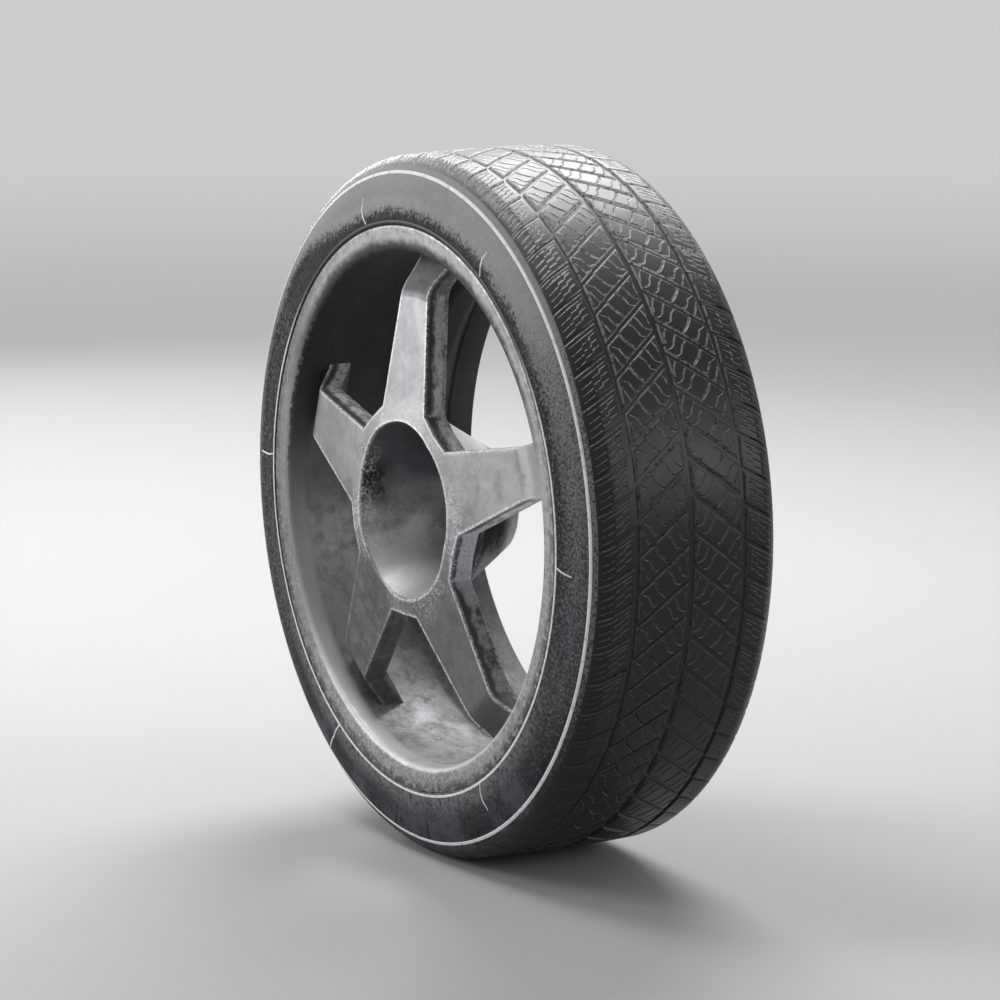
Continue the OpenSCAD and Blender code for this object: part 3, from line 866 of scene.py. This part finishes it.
def coil_rise(turn, length):
    """How far along the coil a turn is; the first and last turns lie nearly flat."""
    if turn < 1:
        return turn * DEAD_TURN
    if turn > SPRING_TURNS - 1:
        return length - (SPRING_TURNS - turn) * DEAD_TURN
    return DEAD_TURN + (turn - 1) / (SPRING_TURNS - 2) * (length - 2 * DEAD_TURN)


def make_spring():
    """The valve core's coil of round wire, laid along the core's press axis."""
    press = next(j for j in frame["record"]["behaviour"]["joints"] if j["name"] == "core_press")
    out = Vector((press["axis"][0], press["axis"][2], 0)).normalized()
    across, up = Vector((-out.y, out.x, 0)), Vector((0, 0, 1))
    spots = [Vector((v.co.x * MM, v.co.z * MM, OFFSET - v.co.y * MM))
             for v in frame["nodes"]["core_spring"].data.vertices]
    along = [out.dot(p) for p in spots]
    middle = (min(p.z for p in spots) + max(p.z for p in spots)) / 2
    foot = max(along)
    free = foot - min(along)
    points, rings = [], SPRING_TURNS * SPRING_STEPS + 1
    for turn in np.arange(rings) / SPRING_STEPS:
        c, s = polar(1.0, 2 * pi * turn)
        radial = across * c + up * s
        rise = SPRING_WIRE / 2 + coil_rise(turn, free - SPRING_WIRE)
        centre = out * (foot - rise) + up * middle + radial * SPRING_R
        for b in np.arange(WIRE_SIDES) * 2 * pi / WIRE_SIDES:
            points.append(centre + (radial * cos(b) + out * sin(b)) * SPRING_WIRE / 2)
    spring = new_object("core_coil", points, tube_faces(rings, WIRE_SIDES))
    outward_normals(spring)
    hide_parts("core_spring")
    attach(spring, "wheel")
    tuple(press["axis"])
    to_row([out * foot + up * middle])[0].tolist()
    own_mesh(spring)
    return spring


# Materials
def sum_node(operation, swapped=False):
    def add(self, other=0.0):
        return self.n.math(operation, *((other, self) if swapped else (self, other)))
    return add


class Value:
    """A number in a material's nodes; sums with it become nodes too."""

    def __init__(self, n, socket):
        self.n, self.socket = n, socket

    __add__, __mul__ = sum_node("ADD"), sum_node("MULTIPLY")
    __sub__, __rsub__ = sum_node("SUBTRACT"), sum_node("SUBTRACT", True)
    __truediv__, __abs__ = sum_node("DIVIDE"), sum_node("ABSOLUTE")


class Tree:
    """Short way to add and link the nodes of a material or a world."""

    def __init__(self, owner):
        owner.use_nodes = True
        self.tree = owner.node_tree

    def add(self, kind, **values):
        node = self.tree.nodes.new("ShaderNode" + kind)
        for key, value in values.items():
            if hasattr(node, key) and key not in node.inputs:
                setattr(node, key, value)
            else:
                self.feed(node.inputs[key], value)
        return node

    def feed(self, socket, value):
        if isinstance(value, Value):
            value = value.socket
        if isinstance(value, bpy.types.NodeSocket):
            self.tree.links.new(value, socket)
        else:
            socket.default_value = value

    def math(self, operation, a, b=0.5, clamp=False):
        node = self.add("Math", operation=operation, use_clamp=clamp)
        self.feed(node.inputs[0], a)
        self.feed(node.inputs[1], b)
        return Value(self, node.outputs[0])


class Nodes(Tree):
    """Nodes of a new material."""

    def __init__(self, name):
        self.material = bpy.data.materials.new(name)
        super().__init__(self.material)
        self.shader = self.tree.nodes["Principled BSDF"]
        self.place = self.add("TexCoord").outputs["Object"]

    def most(self, a, b):
        return self.math("MAXIMUM", a, b)

    def span(self, value, low, high, out_low=0.0, out_high=1.0):
        """Goes smoothly from out_low to out_high while the value goes from low to high."""
        node = self.add("MapRange", interpolation_type="SMOOTHSTEP")
        for name, v in (("Value", value), ("From Min", low), ("From Max", high),
                        ("To Min", out_low), ("To Max", out_high)):
            self.feed(node.inputs[name], v)
        return Value(self, node.outputs["Result"])

    def noise(self, scale, detail=4.0, rough=0.55, vector=None, distortion=0.0):
        node = self.add("TexNoise", Scale=scale, Detail=detail, Roughness=rough,
                        Distortion=distortion, Vector=vector or self.place)
        return Value(self, node.outputs[0])

    def spots(self, scale, detail, rough, *limits, distortion=0.0):
        """A span over noise."""
        return self.span(self.noise(scale, detail, rough, distortion=distortion), *limits)

    def parts(self, vector):
        return [Value(self, s) for s in self.add("SeparateXYZ", Vector=vector).outputs]

    def length(self, vector):
        node = self.add("VectorMath", operation="LENGTH")
        self.feed(node.inputs[0], vector)
        return Value(self, node.outputs["Value"])

    def mix(self, factor, a, b):
        node = self.add("Mix", data_type="RGBA")
        for socket, value in ((0, factor), (6, a), (7, b)):
            self.feed(node.inputs[socket], value)
        return node.outputs[2]

    def paint(self, mask, colour, blue=0.0):
        """Lays a grey, or another node's colour, over what is there, where the mask is 1."""
        if isinstance(colour, float):
            colour = grey(colour, blue)
        self.colour = self.mix(mask, self.colour, colour)

    def bump(self, height, distance, strength=1.0):
        return self.add("Bump", Strength=strength, Distance=distance, Height=height).outputs[0]

    def set(self, **values):
        names = {"colour": "Base Color", "roughness": "Roughness", "metallic": "Metallic",
                 "normal": "Normal", "specular": "Specular IOR Level", "coat": "Coat Weight"}
        for key, value in values.items():
            self.feed(self.shader.inputs[names[key]], value)


def grey(v, blue=0.0):
    return (v * (1 - blue), v * (1 - blue * 0.3), v * (1 + blue), 1.0)


class WheelNodes(Nodes):
    """Nodes that know their place on the wheel in millimetres: radius from the axle, distance
    outboard of the rim's centre plane, distance to the right of the axle and height over it."""

    def __init__(self, name):
        super().__init__(name)
        x, y, z = self.parts(self.place)
        self.radius = self.length(self.add("CombineXYZ", X=x, Z=z).outputs[0]) * MM
        self.outboard = OFFSET - y * MM
        self.right = x * MM
        self.height = z * MM

    def out(self, *limits):
        return self.span(self.radius, *limits)

    def up(self, *limits):
        return self.span(self.height, *limits)

    def aside(self, *limits):
        return self.span(self.right, *limits)

    def ahead(self, *limits):
        return self.span(self.outboard, *limits)


def facing_axle(n):
    """How squarely the true surface faces along the axle, 0 to 1."""
    return abs(n.parts(n.add("NewGeometry").outputs["True Normal"])[1])


def edge_mask(n, radius, low, high):
    """1 along edges, from how far a rounded normal turns away from the real one."""
    soft = n.add("Bevel", samples=MASK_SAMPLES, Radius=radius)
    dot = n.add("VectorMath", operation="DOT_PRODUCT")
    n.feed(dot.inputs[0], soft.outputs[0])
    n.feed(dot.inputs[1], n.add("NewGeometry").outputs["Normal"])
    return n.span(n.math("SUBTRACT", 1.0, dot.outputs["Value"]), low, high)


def in_corner(n, distance):
    """0 on open surfaces, rising to 1 deep in corners."""
    ao = n.add("AmbientOcclusion", samples=MASK_SAMPLES, Distance=distance)
    return n.math("SUBTRACT", 1.0, ao.outputs["AO"])


MASK_SAMPLES = 6


def alloy_ground(n, low_shade):
    """Satin grey under stains, smears and specks, with dirt and painted shade in its corners, and
    painted shade on its lower parts.
    """
    n.grain, n.mottle = n.noise(420, 4, 0.7), n.noise(70, 6, 0.7)
    # lower is 1 below the hub; the parts there get painted shade, with more dark mottle and specks
    lower = n.up(70, -60)
    # Dirt and painted shade where the surface lies deep in corners, broken up by mottle
    n.grime = n.span(in_corner(n, 0.03) + (n.mottle - 0.5) * 0.7, 0.25, 0.75)
    cloud = n.noise(19, 7, 0.68, distortion=0.5)
    n.colour = n.mix(n.span(cloud, 0.32, 0.68), grey(0.29, 0.02), grey(0.45, 0.02))
    n.paint(n.span(n.mottle, 0.45, 0.66) * (lower * 0.5 + 0.3), 0.21, 0.03)
    smear = n.spots(26, 8, 0.75, 0.5, 0.62, distortion=0.6)
    n.paint(smear * n.up(90, -20, 0.15, 0.6), 0.15, 0.03)
    # Painted shade on the lower parts
    n.paint(lower * low_shade, 0.12, 0.05)
    specks = n.math("ADD", n.grime * 0.9, lower * 0.35, True)
    n.paint(n.span(n.grain, 0.58, 0.63) * specks, 0.62)
    n.paint(n.spots(900, 2, 0.5, 0.63, 0.68) * (specks * 0.6 + 0.35), 0.12)
    # Painted shade and dirt in the corners
    n.paint(n.grime * 0.8, 0.13, 0.04)
    n.rough = n.span(n.mottle, 0.3, 0.7, 0.33, 0.46)


def alloy_finish(n, worn, shine):
    """Rubbed edges and fine relief over the paint. Shine is the share that stays metallic."""
    broken = worn * n.spots(420, 5, 0.8, 0.42, 0.54)
    n.paint(broken, 0.95)
    metallic = n.math("SUBTRACT", n.span(n.grime, 0.2, 0.9, 0.9, 0.5), broken * 0.4, True)
    n.set(colour=n.colour, metallic=metallic * shine, roughness=n.rough,
          normal=n.bump(n.grain * 0.5 + n.mottle * 0.8, 0.0006, 0.35))
    return n.material


def paint_lip(n, lip):
    """The flange's lip, crusted and flecked, with painted shade on its upper inner half and on its
    left, and rust at its edge.
    """
    outer = lip * n.out(216.5, 219)
    dull = outer * n.up(210, -140, 0.5, 1.0)
    crust = n.spots(150, 9, 0.85, 0.38, 0.62, distortion=0.3)
    n.paint(lip, 0.5)
    n.paint(dull * n.spots(24, 4, 0.6, 0.3, 0.7, 0.75, 1.0),
            n.mix(crust, grey(0.12, 0.03), grey(0.36, 0.02)))
    n.paint(n.spots(620, 4, 0.75, 0.56, 0.62) * dull * 0.7, 0.7)
    # Painted shade: the lip's inner half darker towards the top
    top_shade = n.span(n.radius + (n.mottle - 0.5) * 14, 228, 219) * n.up(40, 150)
    n.paint(top_shade * lip * 0.92, 0.035, 0.03)
    # Painted shade: the lip darker on its left
    n.paint(n.aside(-130, -200) * 0.45, 0.14, 0.03)
    rust = n.spots(140, 7, 0.8, 0.42, 0.55) * n.out(226, 232)
    n.paint(rust * dull * 0.85, 0.05)


def paint_bore_shade(n, lip):
    """Painted shade in the barrel's bore, thick at the top and deep inside; returns its mask."""
    drift = (n.noise(13, 6, 0.65) - 0.5) * 120
    high = n.span(n.height + drift, -60, 130)
    deep = n.ahead(40, -10) * n.span(n.height + drift, -190, -60, 0.25, 0.8)
    frayed = (n.noise(170, 7, 0.8) - 0.5) * n.up(-60, 90, 2, 16)
    bore = 1.0 - lip * n.span(n.radius + frayed, 215.2, 217.4)
    bore_shade = n.most(high, deep) * bore
    # Painted shade over the bore's upper part
    n.paint(n.span(n.height + drift * 0.5, -100, 50) * bore * 0.78, 0.085, 0.05)
    # Darker painted shade at the top and deep inside
    n.paint(bore_shade, 0.022, 0.08)
    return bore_shade


def barrel_finish():
    """Worn cast aluminium of the barrel: crusted lip, painted shade in the bore."""
    n = WheelNodes("cast_aluminium_barrel")
    alloy_ground(n, 0.15)
    lip = n.ahead(72, 80)
    paint_lip(n, lip)
    bore_shade = paint_bore_shade(n, lip)
    hollow = n.out(220, 217) * n.ahead(70, 74, 0.0, 0.18)
    n.rough = n.rough + bore_shade * 0.3 + n.ahead(74, 70, 0.0, 0.12) + hollow
    shine = (1.0 - bore_shade * 0.9) * n.ahead(70, 74, 0.6, 1.0)
    return alloy_finish(n, edge_mask(n, 0.0025, 0.006, 0.09) * lip, shine)


def paint_spoke_walls(n):
    """Dark walls of the spokes, with a bare stripe along the front edge and a pale bluish patch of
    painted light on the hub's wall below the right spoke; returns their mask.
    """
    face = n.math("MINIMUM", FACE_Z - (n.radius - CUP_R) * FACE_SLOPE,
                  face_at(BEND_S) - (n.radius - BEND_S) * FOOT_SLOPE)
    wall = n.span(facing_axle(n), 0.12, 0.05) * n.out(74, 80)
    depth = face - n.outboard + (n.noise(75, 8, 0.8) - 0.5) * 16
    bare = n.span(depth, 5.0, 10.0) * n.span(depth, 20.0, 15.5)
    bare = bare * n.spots(60, 8, 0.75, 0.36, 0.54)
    # Painted light: a pale bluish patch on the hub's wall below the right spoke
    pale_wall_patch = n.out(100, 92) * n.aside(40, 52)
    pale_wall_patch = pale_wall_patch * n.up(0, -12) * n.up(-72, -60)
    pale_wall_patch = pale_wall_patch * n.span(depth, 3.5, 5) * n.span(depth, 22, 18)
    dirty = n.mix(n.most(bare, pale_wall_patch), grey(0.09, 0.04), grey(0.95, 0.02))
    dirty = n.mix(pale_wall_patch * 0.9, dirty, grey(0.9, 0.06))
    dirty = n.mix(n.spots(260, 5, 0.8, 0.52, 0.62) * 0.4, dirty, grey(0.1))
    n.paint(wall * 0.95, dirty)
    return wall


def paint_cup(n, cup, blot):
    """Shade in the cup, a black stain on its left and grit below its rim."""
    n.paint(cup * n.span(n.height + blot, -25, 40, 0.0, 0.85), 0.075, 0.10)
    stain = n.ahead(FACE_Z - 30, FACE_Z - 12) * n.span(abs(n.height - 12), 26, 10)
    stain = stain * cup * n.aside(-40, -55)
    n.paint(n.spots(130, 7, 0.85, 0.62, 0.45) * stain * 0.95, 0.012)
    grit = n.out(66, 73) * cup * n.spots(40, 4, 0.6, 0.4, 0.6)
    grit = grit * n.spots(420, 4, 0.8, 0.52, 0.58)
    n.paint(grit * n.up(55, 30, 0.0, 0.8), 0.7)


def paint_hub(n):
    """Cone behind the spokes, with a painted highlight on its upper part and painted shadow on its
    lower part, and grit round the cup's mouth; returns the cone's mask.
    """
    back = n.ahead(77, 74) * n.out(86, 84)
    back = back * n.span(n.radius - n.outboard * 0.457, 38, 41)
    # Painted highlight on the cone's upper part, painted shadow on its lower part
    n.paint(back, n.mix(n.up(-5, 25), grey(0.022, 0.04), grey(0.85)))
    zone = n.out(104, 82) * n.out(73, 75)
    zone = zone * n.up(40, -50, 0.25, 1.0) * n.spots(36, 4, 0.6, 0.38, 0.58)
    n.paint(n.spots(520, 4, 0.8, 0.5, 0.56) * zone, 0.9)
    n.paint(n.spots(480, 3, 0.7, 0.56, 0.61) * zone, 0.04)
    return back


def paint_feet(n):
    """Dirty feet of the spokes, with painted light on the right-hand heels and a painted highlight
    along the right spoke's bend; returns their mask.
    """
    foot = n.out(BEND_S - 5, BEND_S) * n.span(abs(n.height), 110, 140)
    n.paint(foot * n.spots(55, 7, 0.75, 0.36, 0.58, 0.45, 0.8), 0.15, 0.03)
    rightmost = n.aside(120, 150)
    # streak: a painted highlight along the bend of the right spoke
    streak = n.span(abs(n.radius - (BEND_S + 2)), 6, 1.5) * rightmost
    streak = streak * n.spots(48, 5, 0.7, 0.38, 0.5)
    # Painted light on the right-hand heels
    n.paint(n.out(BEND_S, BEND_S + 4) * rightmost * 0.7, 0.72)
    n.paint(streak * 0.6, 0.95)
    return foot


def paint_low_shade(n, cup, blot):
    """Painted shade on the lower left spoke and below the hub, a painted highlight low in the cup,
    and lighter patches on that spoke; returns that spoke's mask.
    """
    low_left_shade = n.up(-30, -62) * n.aside(-8, -40)
    # Painted shade on the lower left spoke
    n.paint(low_left_shade * 0.9, 0.05, 0.06)
    # Painted shade below the hub
    n.paint(n.up(10, -90) * (1.0 - cup) * 0.55, 0.07, 0.05)
    # Painted highlight in the lower part of the cup
    n.paint(cup * n.span(n.height + blot, -15, -45) * 0.65, 0.6)
    patches = low_left_shade * n.spots(75, 8, 0.85, 0.42, 0.68)
    n.paint(patches * 0.45, 0.32, 0.03)
    return low_left_shade


def spider_finish():
    """Worn cast aluminium of hub and spokes, with bright worn edges, and painted light and shade on
    the cone, the right-hand heels, the cup and the lower spokes.
    """
    n = WheelNodes("cast_aluminium_spokes")
    alloy_ground(n, 0.5)
    wall = paint_spoke_walls(n)
    blot = (n.noise(32, 6, 0.7) - 0.5) * 70
    cup = n.out(73.9, 73.0) * n.ahead(25, 40)
    paint_cup(n, cup, blot)
    back = paint_hub(n)
    foot = paint_feet(n)
    bend = n.span(abs(n.radius - BEND_S), 9, 5) * n.up(120, 150)
    low_left_shade = paint_low_shade(n, cup, blot)
    n.rough = n.rough + foot * 0.3 + bend * 0.35 + cup * 0.12
    n.rough = n.rough + back * n.up(25, -5, 0.0, 0.45)
    dull = n.most(wall * 0.75, back * n.up(25, -5, 0.0, 0.9))
    dull = n.most(dull, n.most(foot, bend) * 0.6)
    worn = edge_mask(n, 0.0055, 0.004, 0.07) * (1.0 - low_left_shade * 0.8)
    return alloy_finish(n, worn, 1.0 - dull)


def tread_edge_highlight(n, side):
    """1 on the upward sides of the tread's blocks and sipes, broken up a little, where grey
    highlights are painted.
    """
    x, _, z = n.parts(n.place)
    nx, ny, nz = n.parts(n.add("NewGeometry").outputs["True Normal"])
    along = (nz * x - nx * z) / n.math("SQRT", x * x + z * z)
    upward = along * n.span(x, -0.08, 0.0, -1.0, 1.0)
    upward = n.most(upward, abs(along) * n.up(180, 230))
    across = n.span(abs(ny), 0.25, 0.5) * n.span(side, 66, 62, 0.0, 0.55)
    edge = n.most(n.span(upward, 0.2, 0.5), across)
    return edge * n.spots(300, 4, 0.7, 0.36, 0.52)


def paint_sidewall(n, leather):
    """Dusty grey, painted lighter towards the top as painted light and nearly black below as
    painted shade, with streaks, and a dark ragged band next to the rim.
    """
    lower = n.up(110, -190)
    broad = n.noise(16, 5, 0.6, distortion=0.5)
    # Painted light: the sidewall lighter towards the top
    n.colour = n.mix(n.up(60, 250), grey(0.165, 0.01), grey(0.34, 0.01))
    # Painted shade: nearly black towards the bottom
    n.paint(lower, 0.014, 0.28)
    n.paint(n.span(broad, 0.45, 0.62) * (lower * 0.75 + 0.1), 0.075, 0.15)
    slanted = n.add("Mapping", Vector=n.place, Rotation=(0, radians(28), 0),
                    Scale=(120, 60, 26)).outputs[0]
    n.paint(n.span(n.noise(1.0, 4, 0.6, slanted), 0.57, 0.65) * lower, 0.004, 0.1)
    # Painted highlights on the leathery lumps near the rim, in the lower half
    lump_highlight = n.out(262, 240) * n.up(-40, -190)
    n.paint(lump_highlight * n.span(leather, 0.3, 0.6) * 0.85, 0.30, 0.02)
    ragged = n.radius + (n.noise(260, 6, 0.85) - 0.5) * 44 + (broad - 0.5) * 12
    ragged = ragged - n.aside(-110, -215) * 19
    ragged = ragged + n.up(120, 190) * n.aside(-150, -60, 0.0, 2.5)
    n.paint(n.span(ragged, 255, 246) * n.up(-150, 20, 0.25, 1.0), 0.008, 0.05)
    rim_dust = n.out(279.5, 281) * n.spots(420, 4, 0.7, 0.3, 0.6)
    n.paint(rim_dust * n.up(-220, 0, 0.1, 0.6), 0.33)


def paint_pebble_light_shade(n, pebbles, pebbled):
    """Painted highlights on the tops and painted shade in the pits of the sidewall's pebbled skin.
    """
    n.paint(n.span(pebbles, 0.48, 0.68) * pebbled * 0.5, 0.27, 0.03)
    n.paint(n.span(pebbles, 0.52, 0.36) * pebbled * 0.7, 0.01, 0.1)


def tread_colour(n, side):
    """Black rubber with a painted grey highlight over the top of the wheel and painted grey
    highlights on upward-facing edges.
    """
    # Painted highlights on the upward-facing edges, stronger towards the top
    grey_marks = tread_edge_highlight(n, side) * n.up(40, 200, 0.2, 0.95)
    grey_marks = grey_marks * n.up(-200, 40, 0.1, 1.0)
    # Painted highlight over the top of the tread
    top_highlight = n.up(150, 275) * n.aside(150, -40, 0.25, 1.0)
    return n.mix(grey_marks, n.mix(top_highlight * 0.95, grey(0.006, 0.02), grey(0.3)), grey(0.75))


COAT_ROUGHNESS = 0.35


def rubber_finish():
    """Glossy black tread with painted highlights; dusty grey sidewalls, painted lighter above and
    darker below, with a dark rough band next to the rim.
    """
    n = WheelNodes("tyre_rubber_worn")
    side = abs(n.outboard)
    wall = n.out(284.5, 283.9) * n.span(side, 79.0, 80.5)
    leather, pebbles = n.noise(190, 5, 0.6), n.noise(420, 3, 0.55)
    pebbled = n.up(200, 110, 0.12, 1.0) * n.up(-200, -90, 0.25, 1.0)
    paint_sidewall(n, leather)
    paint_pebble_light_shade(n, pebbles, pebbled)
    gloss = n.spots(22, 4, 0.6, 0.35, 0.65, 0.33, 0.44)
    rough = gloss + wall * (n.span(leather, 0.3, 0.7, 0.55, 0.75) - gloss)
    relief = n.noise(1100, 3, 0.6) * 0.06 + pebbles * wall * (pebbled + 0.15)
    n.set(colour=n.mix(wall, tread_colour(n, side), n.colour), roughness=rough,
          normal=n.bump(relief, 0.002), specular=0.25, coat=0.3 - wall * 0.3)
    n.shader.inputs["Coat Roughness"].default_value = COAT_ROUGHNESS
    return n.material


def white_finish():
    """White paint, worn in spots and darker along the inner ring's top."""
    n = WheelNodes("white_marking")
    grey_marks = n.noise(180, 5, 0.7)
    n.colour = n.mix(n.span(grey_marks, 0.52, 0.66), grey(0.92), grey(0.6))
    n.paint(n.out(240.2, 239.7) * n.up(90, 170), 0.05)
    n.set(colour=n.colour, roughness=0.5, normal=n.bump(grey_marks, 0.0002, 0.4))
    return n.material


def plain_material(name, colour, metallic, roughness):
    """One colour with slightly darker grains."""
    n = Nodes(name)
    fine = n.noise(900, 3, 0.6)
    darker = tuple(c * 0.8 for c in colour) + (1,)
    n.set(colour=n.mix(n.span(fine, 0.3, 0.7), darker, (*colour, 1)), metallic=metallic,
          roughness=roughness, normal=n.bump(fine, 0.00005, 0.3))
    return n.material


def dress(piece, material):
    piece.data.materials.clear()
    piece.data.materials.append(material)


def dress_node(name, material):
    for slot in frame["nodes"][name].material_slots:
        slot.material = material


# Floor, light and camera
FLOOR_HALF, FLOOR_Z = 25.0, -0.294
WHITE = 1.0


def make_floor():
    mesh = bpy.data.meshes.new("floor")
    corners = [(-1, -1), (1, -1), (1, 1), (-1, 1)]
    mesh.from_pydata([(x * FLOOR_HALF, y * FLOOR_HALF, FLOOR_Z) for x, y in corners], [],
                     [(0, 1, 2, 3)])
    floor = linked("floor", mesh)
    n = Nodes("floor_paint")
    n.set(colour=n.mix(n.noise(3, 2), grey(0.55), grey(0.57)), roughness=0.7, specular=0.2)
    far = n.math("MULTIPLY", n.span(n.length(n.place), 0.9, 5.0),
                 n.add("LightPath").outputs["Is Camera Ray"])
    blend = n.add("MixShader")
    glow = n.add("Emission", Color=grey(WHITE), Strength=0.6)
    for socket, value in enumerate((far, n.shader.outputs[0], glow.outputs[0])):
        n.feed(blend.inputs[socket], value)
    n.tree.links.new(blend.outputs[0], n.tree.nodes["Material Output"].inputs["Surface"])
    mesh.materials.append(n.material)


# Name, place, what it points at, size in metres and power in watts
LAMPS = [
    ("sky", (-1.25, 1.15, 1.75), (0, 0, 0.1), 1.5, 44),
    ("top", (-0.95, -0.65, 2.15), (0, 0, 0), 1.1, 20),
    ("front", (-2.3, -2.1, 0.75), (0, 0, 0), 1.2, 35),
    ("left", (-2.6, 0.62, 0.65), (0, 0, 0.1), 0.9, 12),
    ("side", (2.3, 1.5, 0.75), (0, 0, 0), 0.9, 9),
]
# Strength of the world's white as a light, and as seen directly or in a mirror
SKY_LIGHT, SKY_SEEN = 0.30, 0.6
CAMERA_LENS, CAMERA_SENSOR, CAMERA_NEAR, CAMERA_FAR = 197.68, 36, 0.1, 50
CAMERA_PLACE, CAMERA_BACK = (3.8964, -2.2553, 0.8179), (0.851, -0.494, 0.1786)


def make_light(name, position, target, size, power):
    """A round lamp that points at its target."""
    lamp = bpy.data.lights.new(name, "AREA")
    lamp.shape, lamp.size, lamp.energy = "DISK", size, power
    light = linked(name, lamp)
    light.location = position
    light.rotation_euler = (Vector(target) - Vector(position)).to_track_quat("-Z", "Y").to_euler()


def make_world():
    """White all round, brighter where a camera, mirror or glass ray meets it."""
    world = bpy.data.worlds.new("studio")
    bpy.context.scene.world = world
    n = Tree(world)
    background = n.tree.nodes["Background"]
    background.inputs["Color"].default_value = grey(WHITE)
    ray = n.add("LightPath").outputs
    seen = n.math("ADD", ray["Is Camera Ray"], ray["Is Glossy Ray"], True)
    seen = n.math("ADD", seen, ray["Is Transmission Ray"], True)
    strength = n.add("MapRange", **{"Value": seen, "To Min": SKY_LIGHT, "To Max": SKY_SEEN})
    n.feed(background.inputs["Strength"], strength.outputs["Result"])


def make_camera():
    camera = bpy.data.cameras.new("camera")
    camera.lens, camera.sensor_width = CAMERA_LENS, CAMERA_SENSOR
    camera.clip_start, camera.clip_end = CAMERA_NEAR, CAMERA_FAR
    holder = linked("camera", camera)
    holder.location = CAMERA_PLACE
    holder.rotation_euler = (-Vector(CAMERA_BACK)).to_track_quat("-Z", "Y").to_euler()
    bpy.context.scene.camera = holder


BLACK, BRASS, STEEL = (0.03, 0.03, 0.03), (0.6, 0.42, 0.18), (0.4, 0.4, 0.42)
# Plain materials of the valve: name, colour, metallic, roughness and the nodes that get it
PLAIN = [
    ("valve_rubber", BLACK, 0, 0.5, ["valve_rubber"]),
    ("brass", BRASS, 1, 0.3, ["valve_stem", "core_body", "core_pin"]),
    ("seal_rubber", BLACK, 0, 0.5, ["core_seal"]),
    ("cap_plastic", BLACK, 0, 0.4, ["valve_cap"]),
]


def main():
    bpy.context.scene.view_settings.view_transform = "Standard"
    spider, barrel = make_rim()
    dress(spider, spider_finish())
    dress(barrel, barrel_finish())
    dress(make_tyre(), rubber_finish())
    dress(make_marks(), white_finish())
    dress(make_spring(), plain_material("spring_steel", STEEL, 1, 0.3))
    for *look, nodes in PLAIN:
        material = plain_material(*look)
        for name in nodes:
            dress_node(name, material)
    make_floor()
    for lamp in LAMPS:
        make_light(*lamp)
    make_world()
    make_camera()


main()
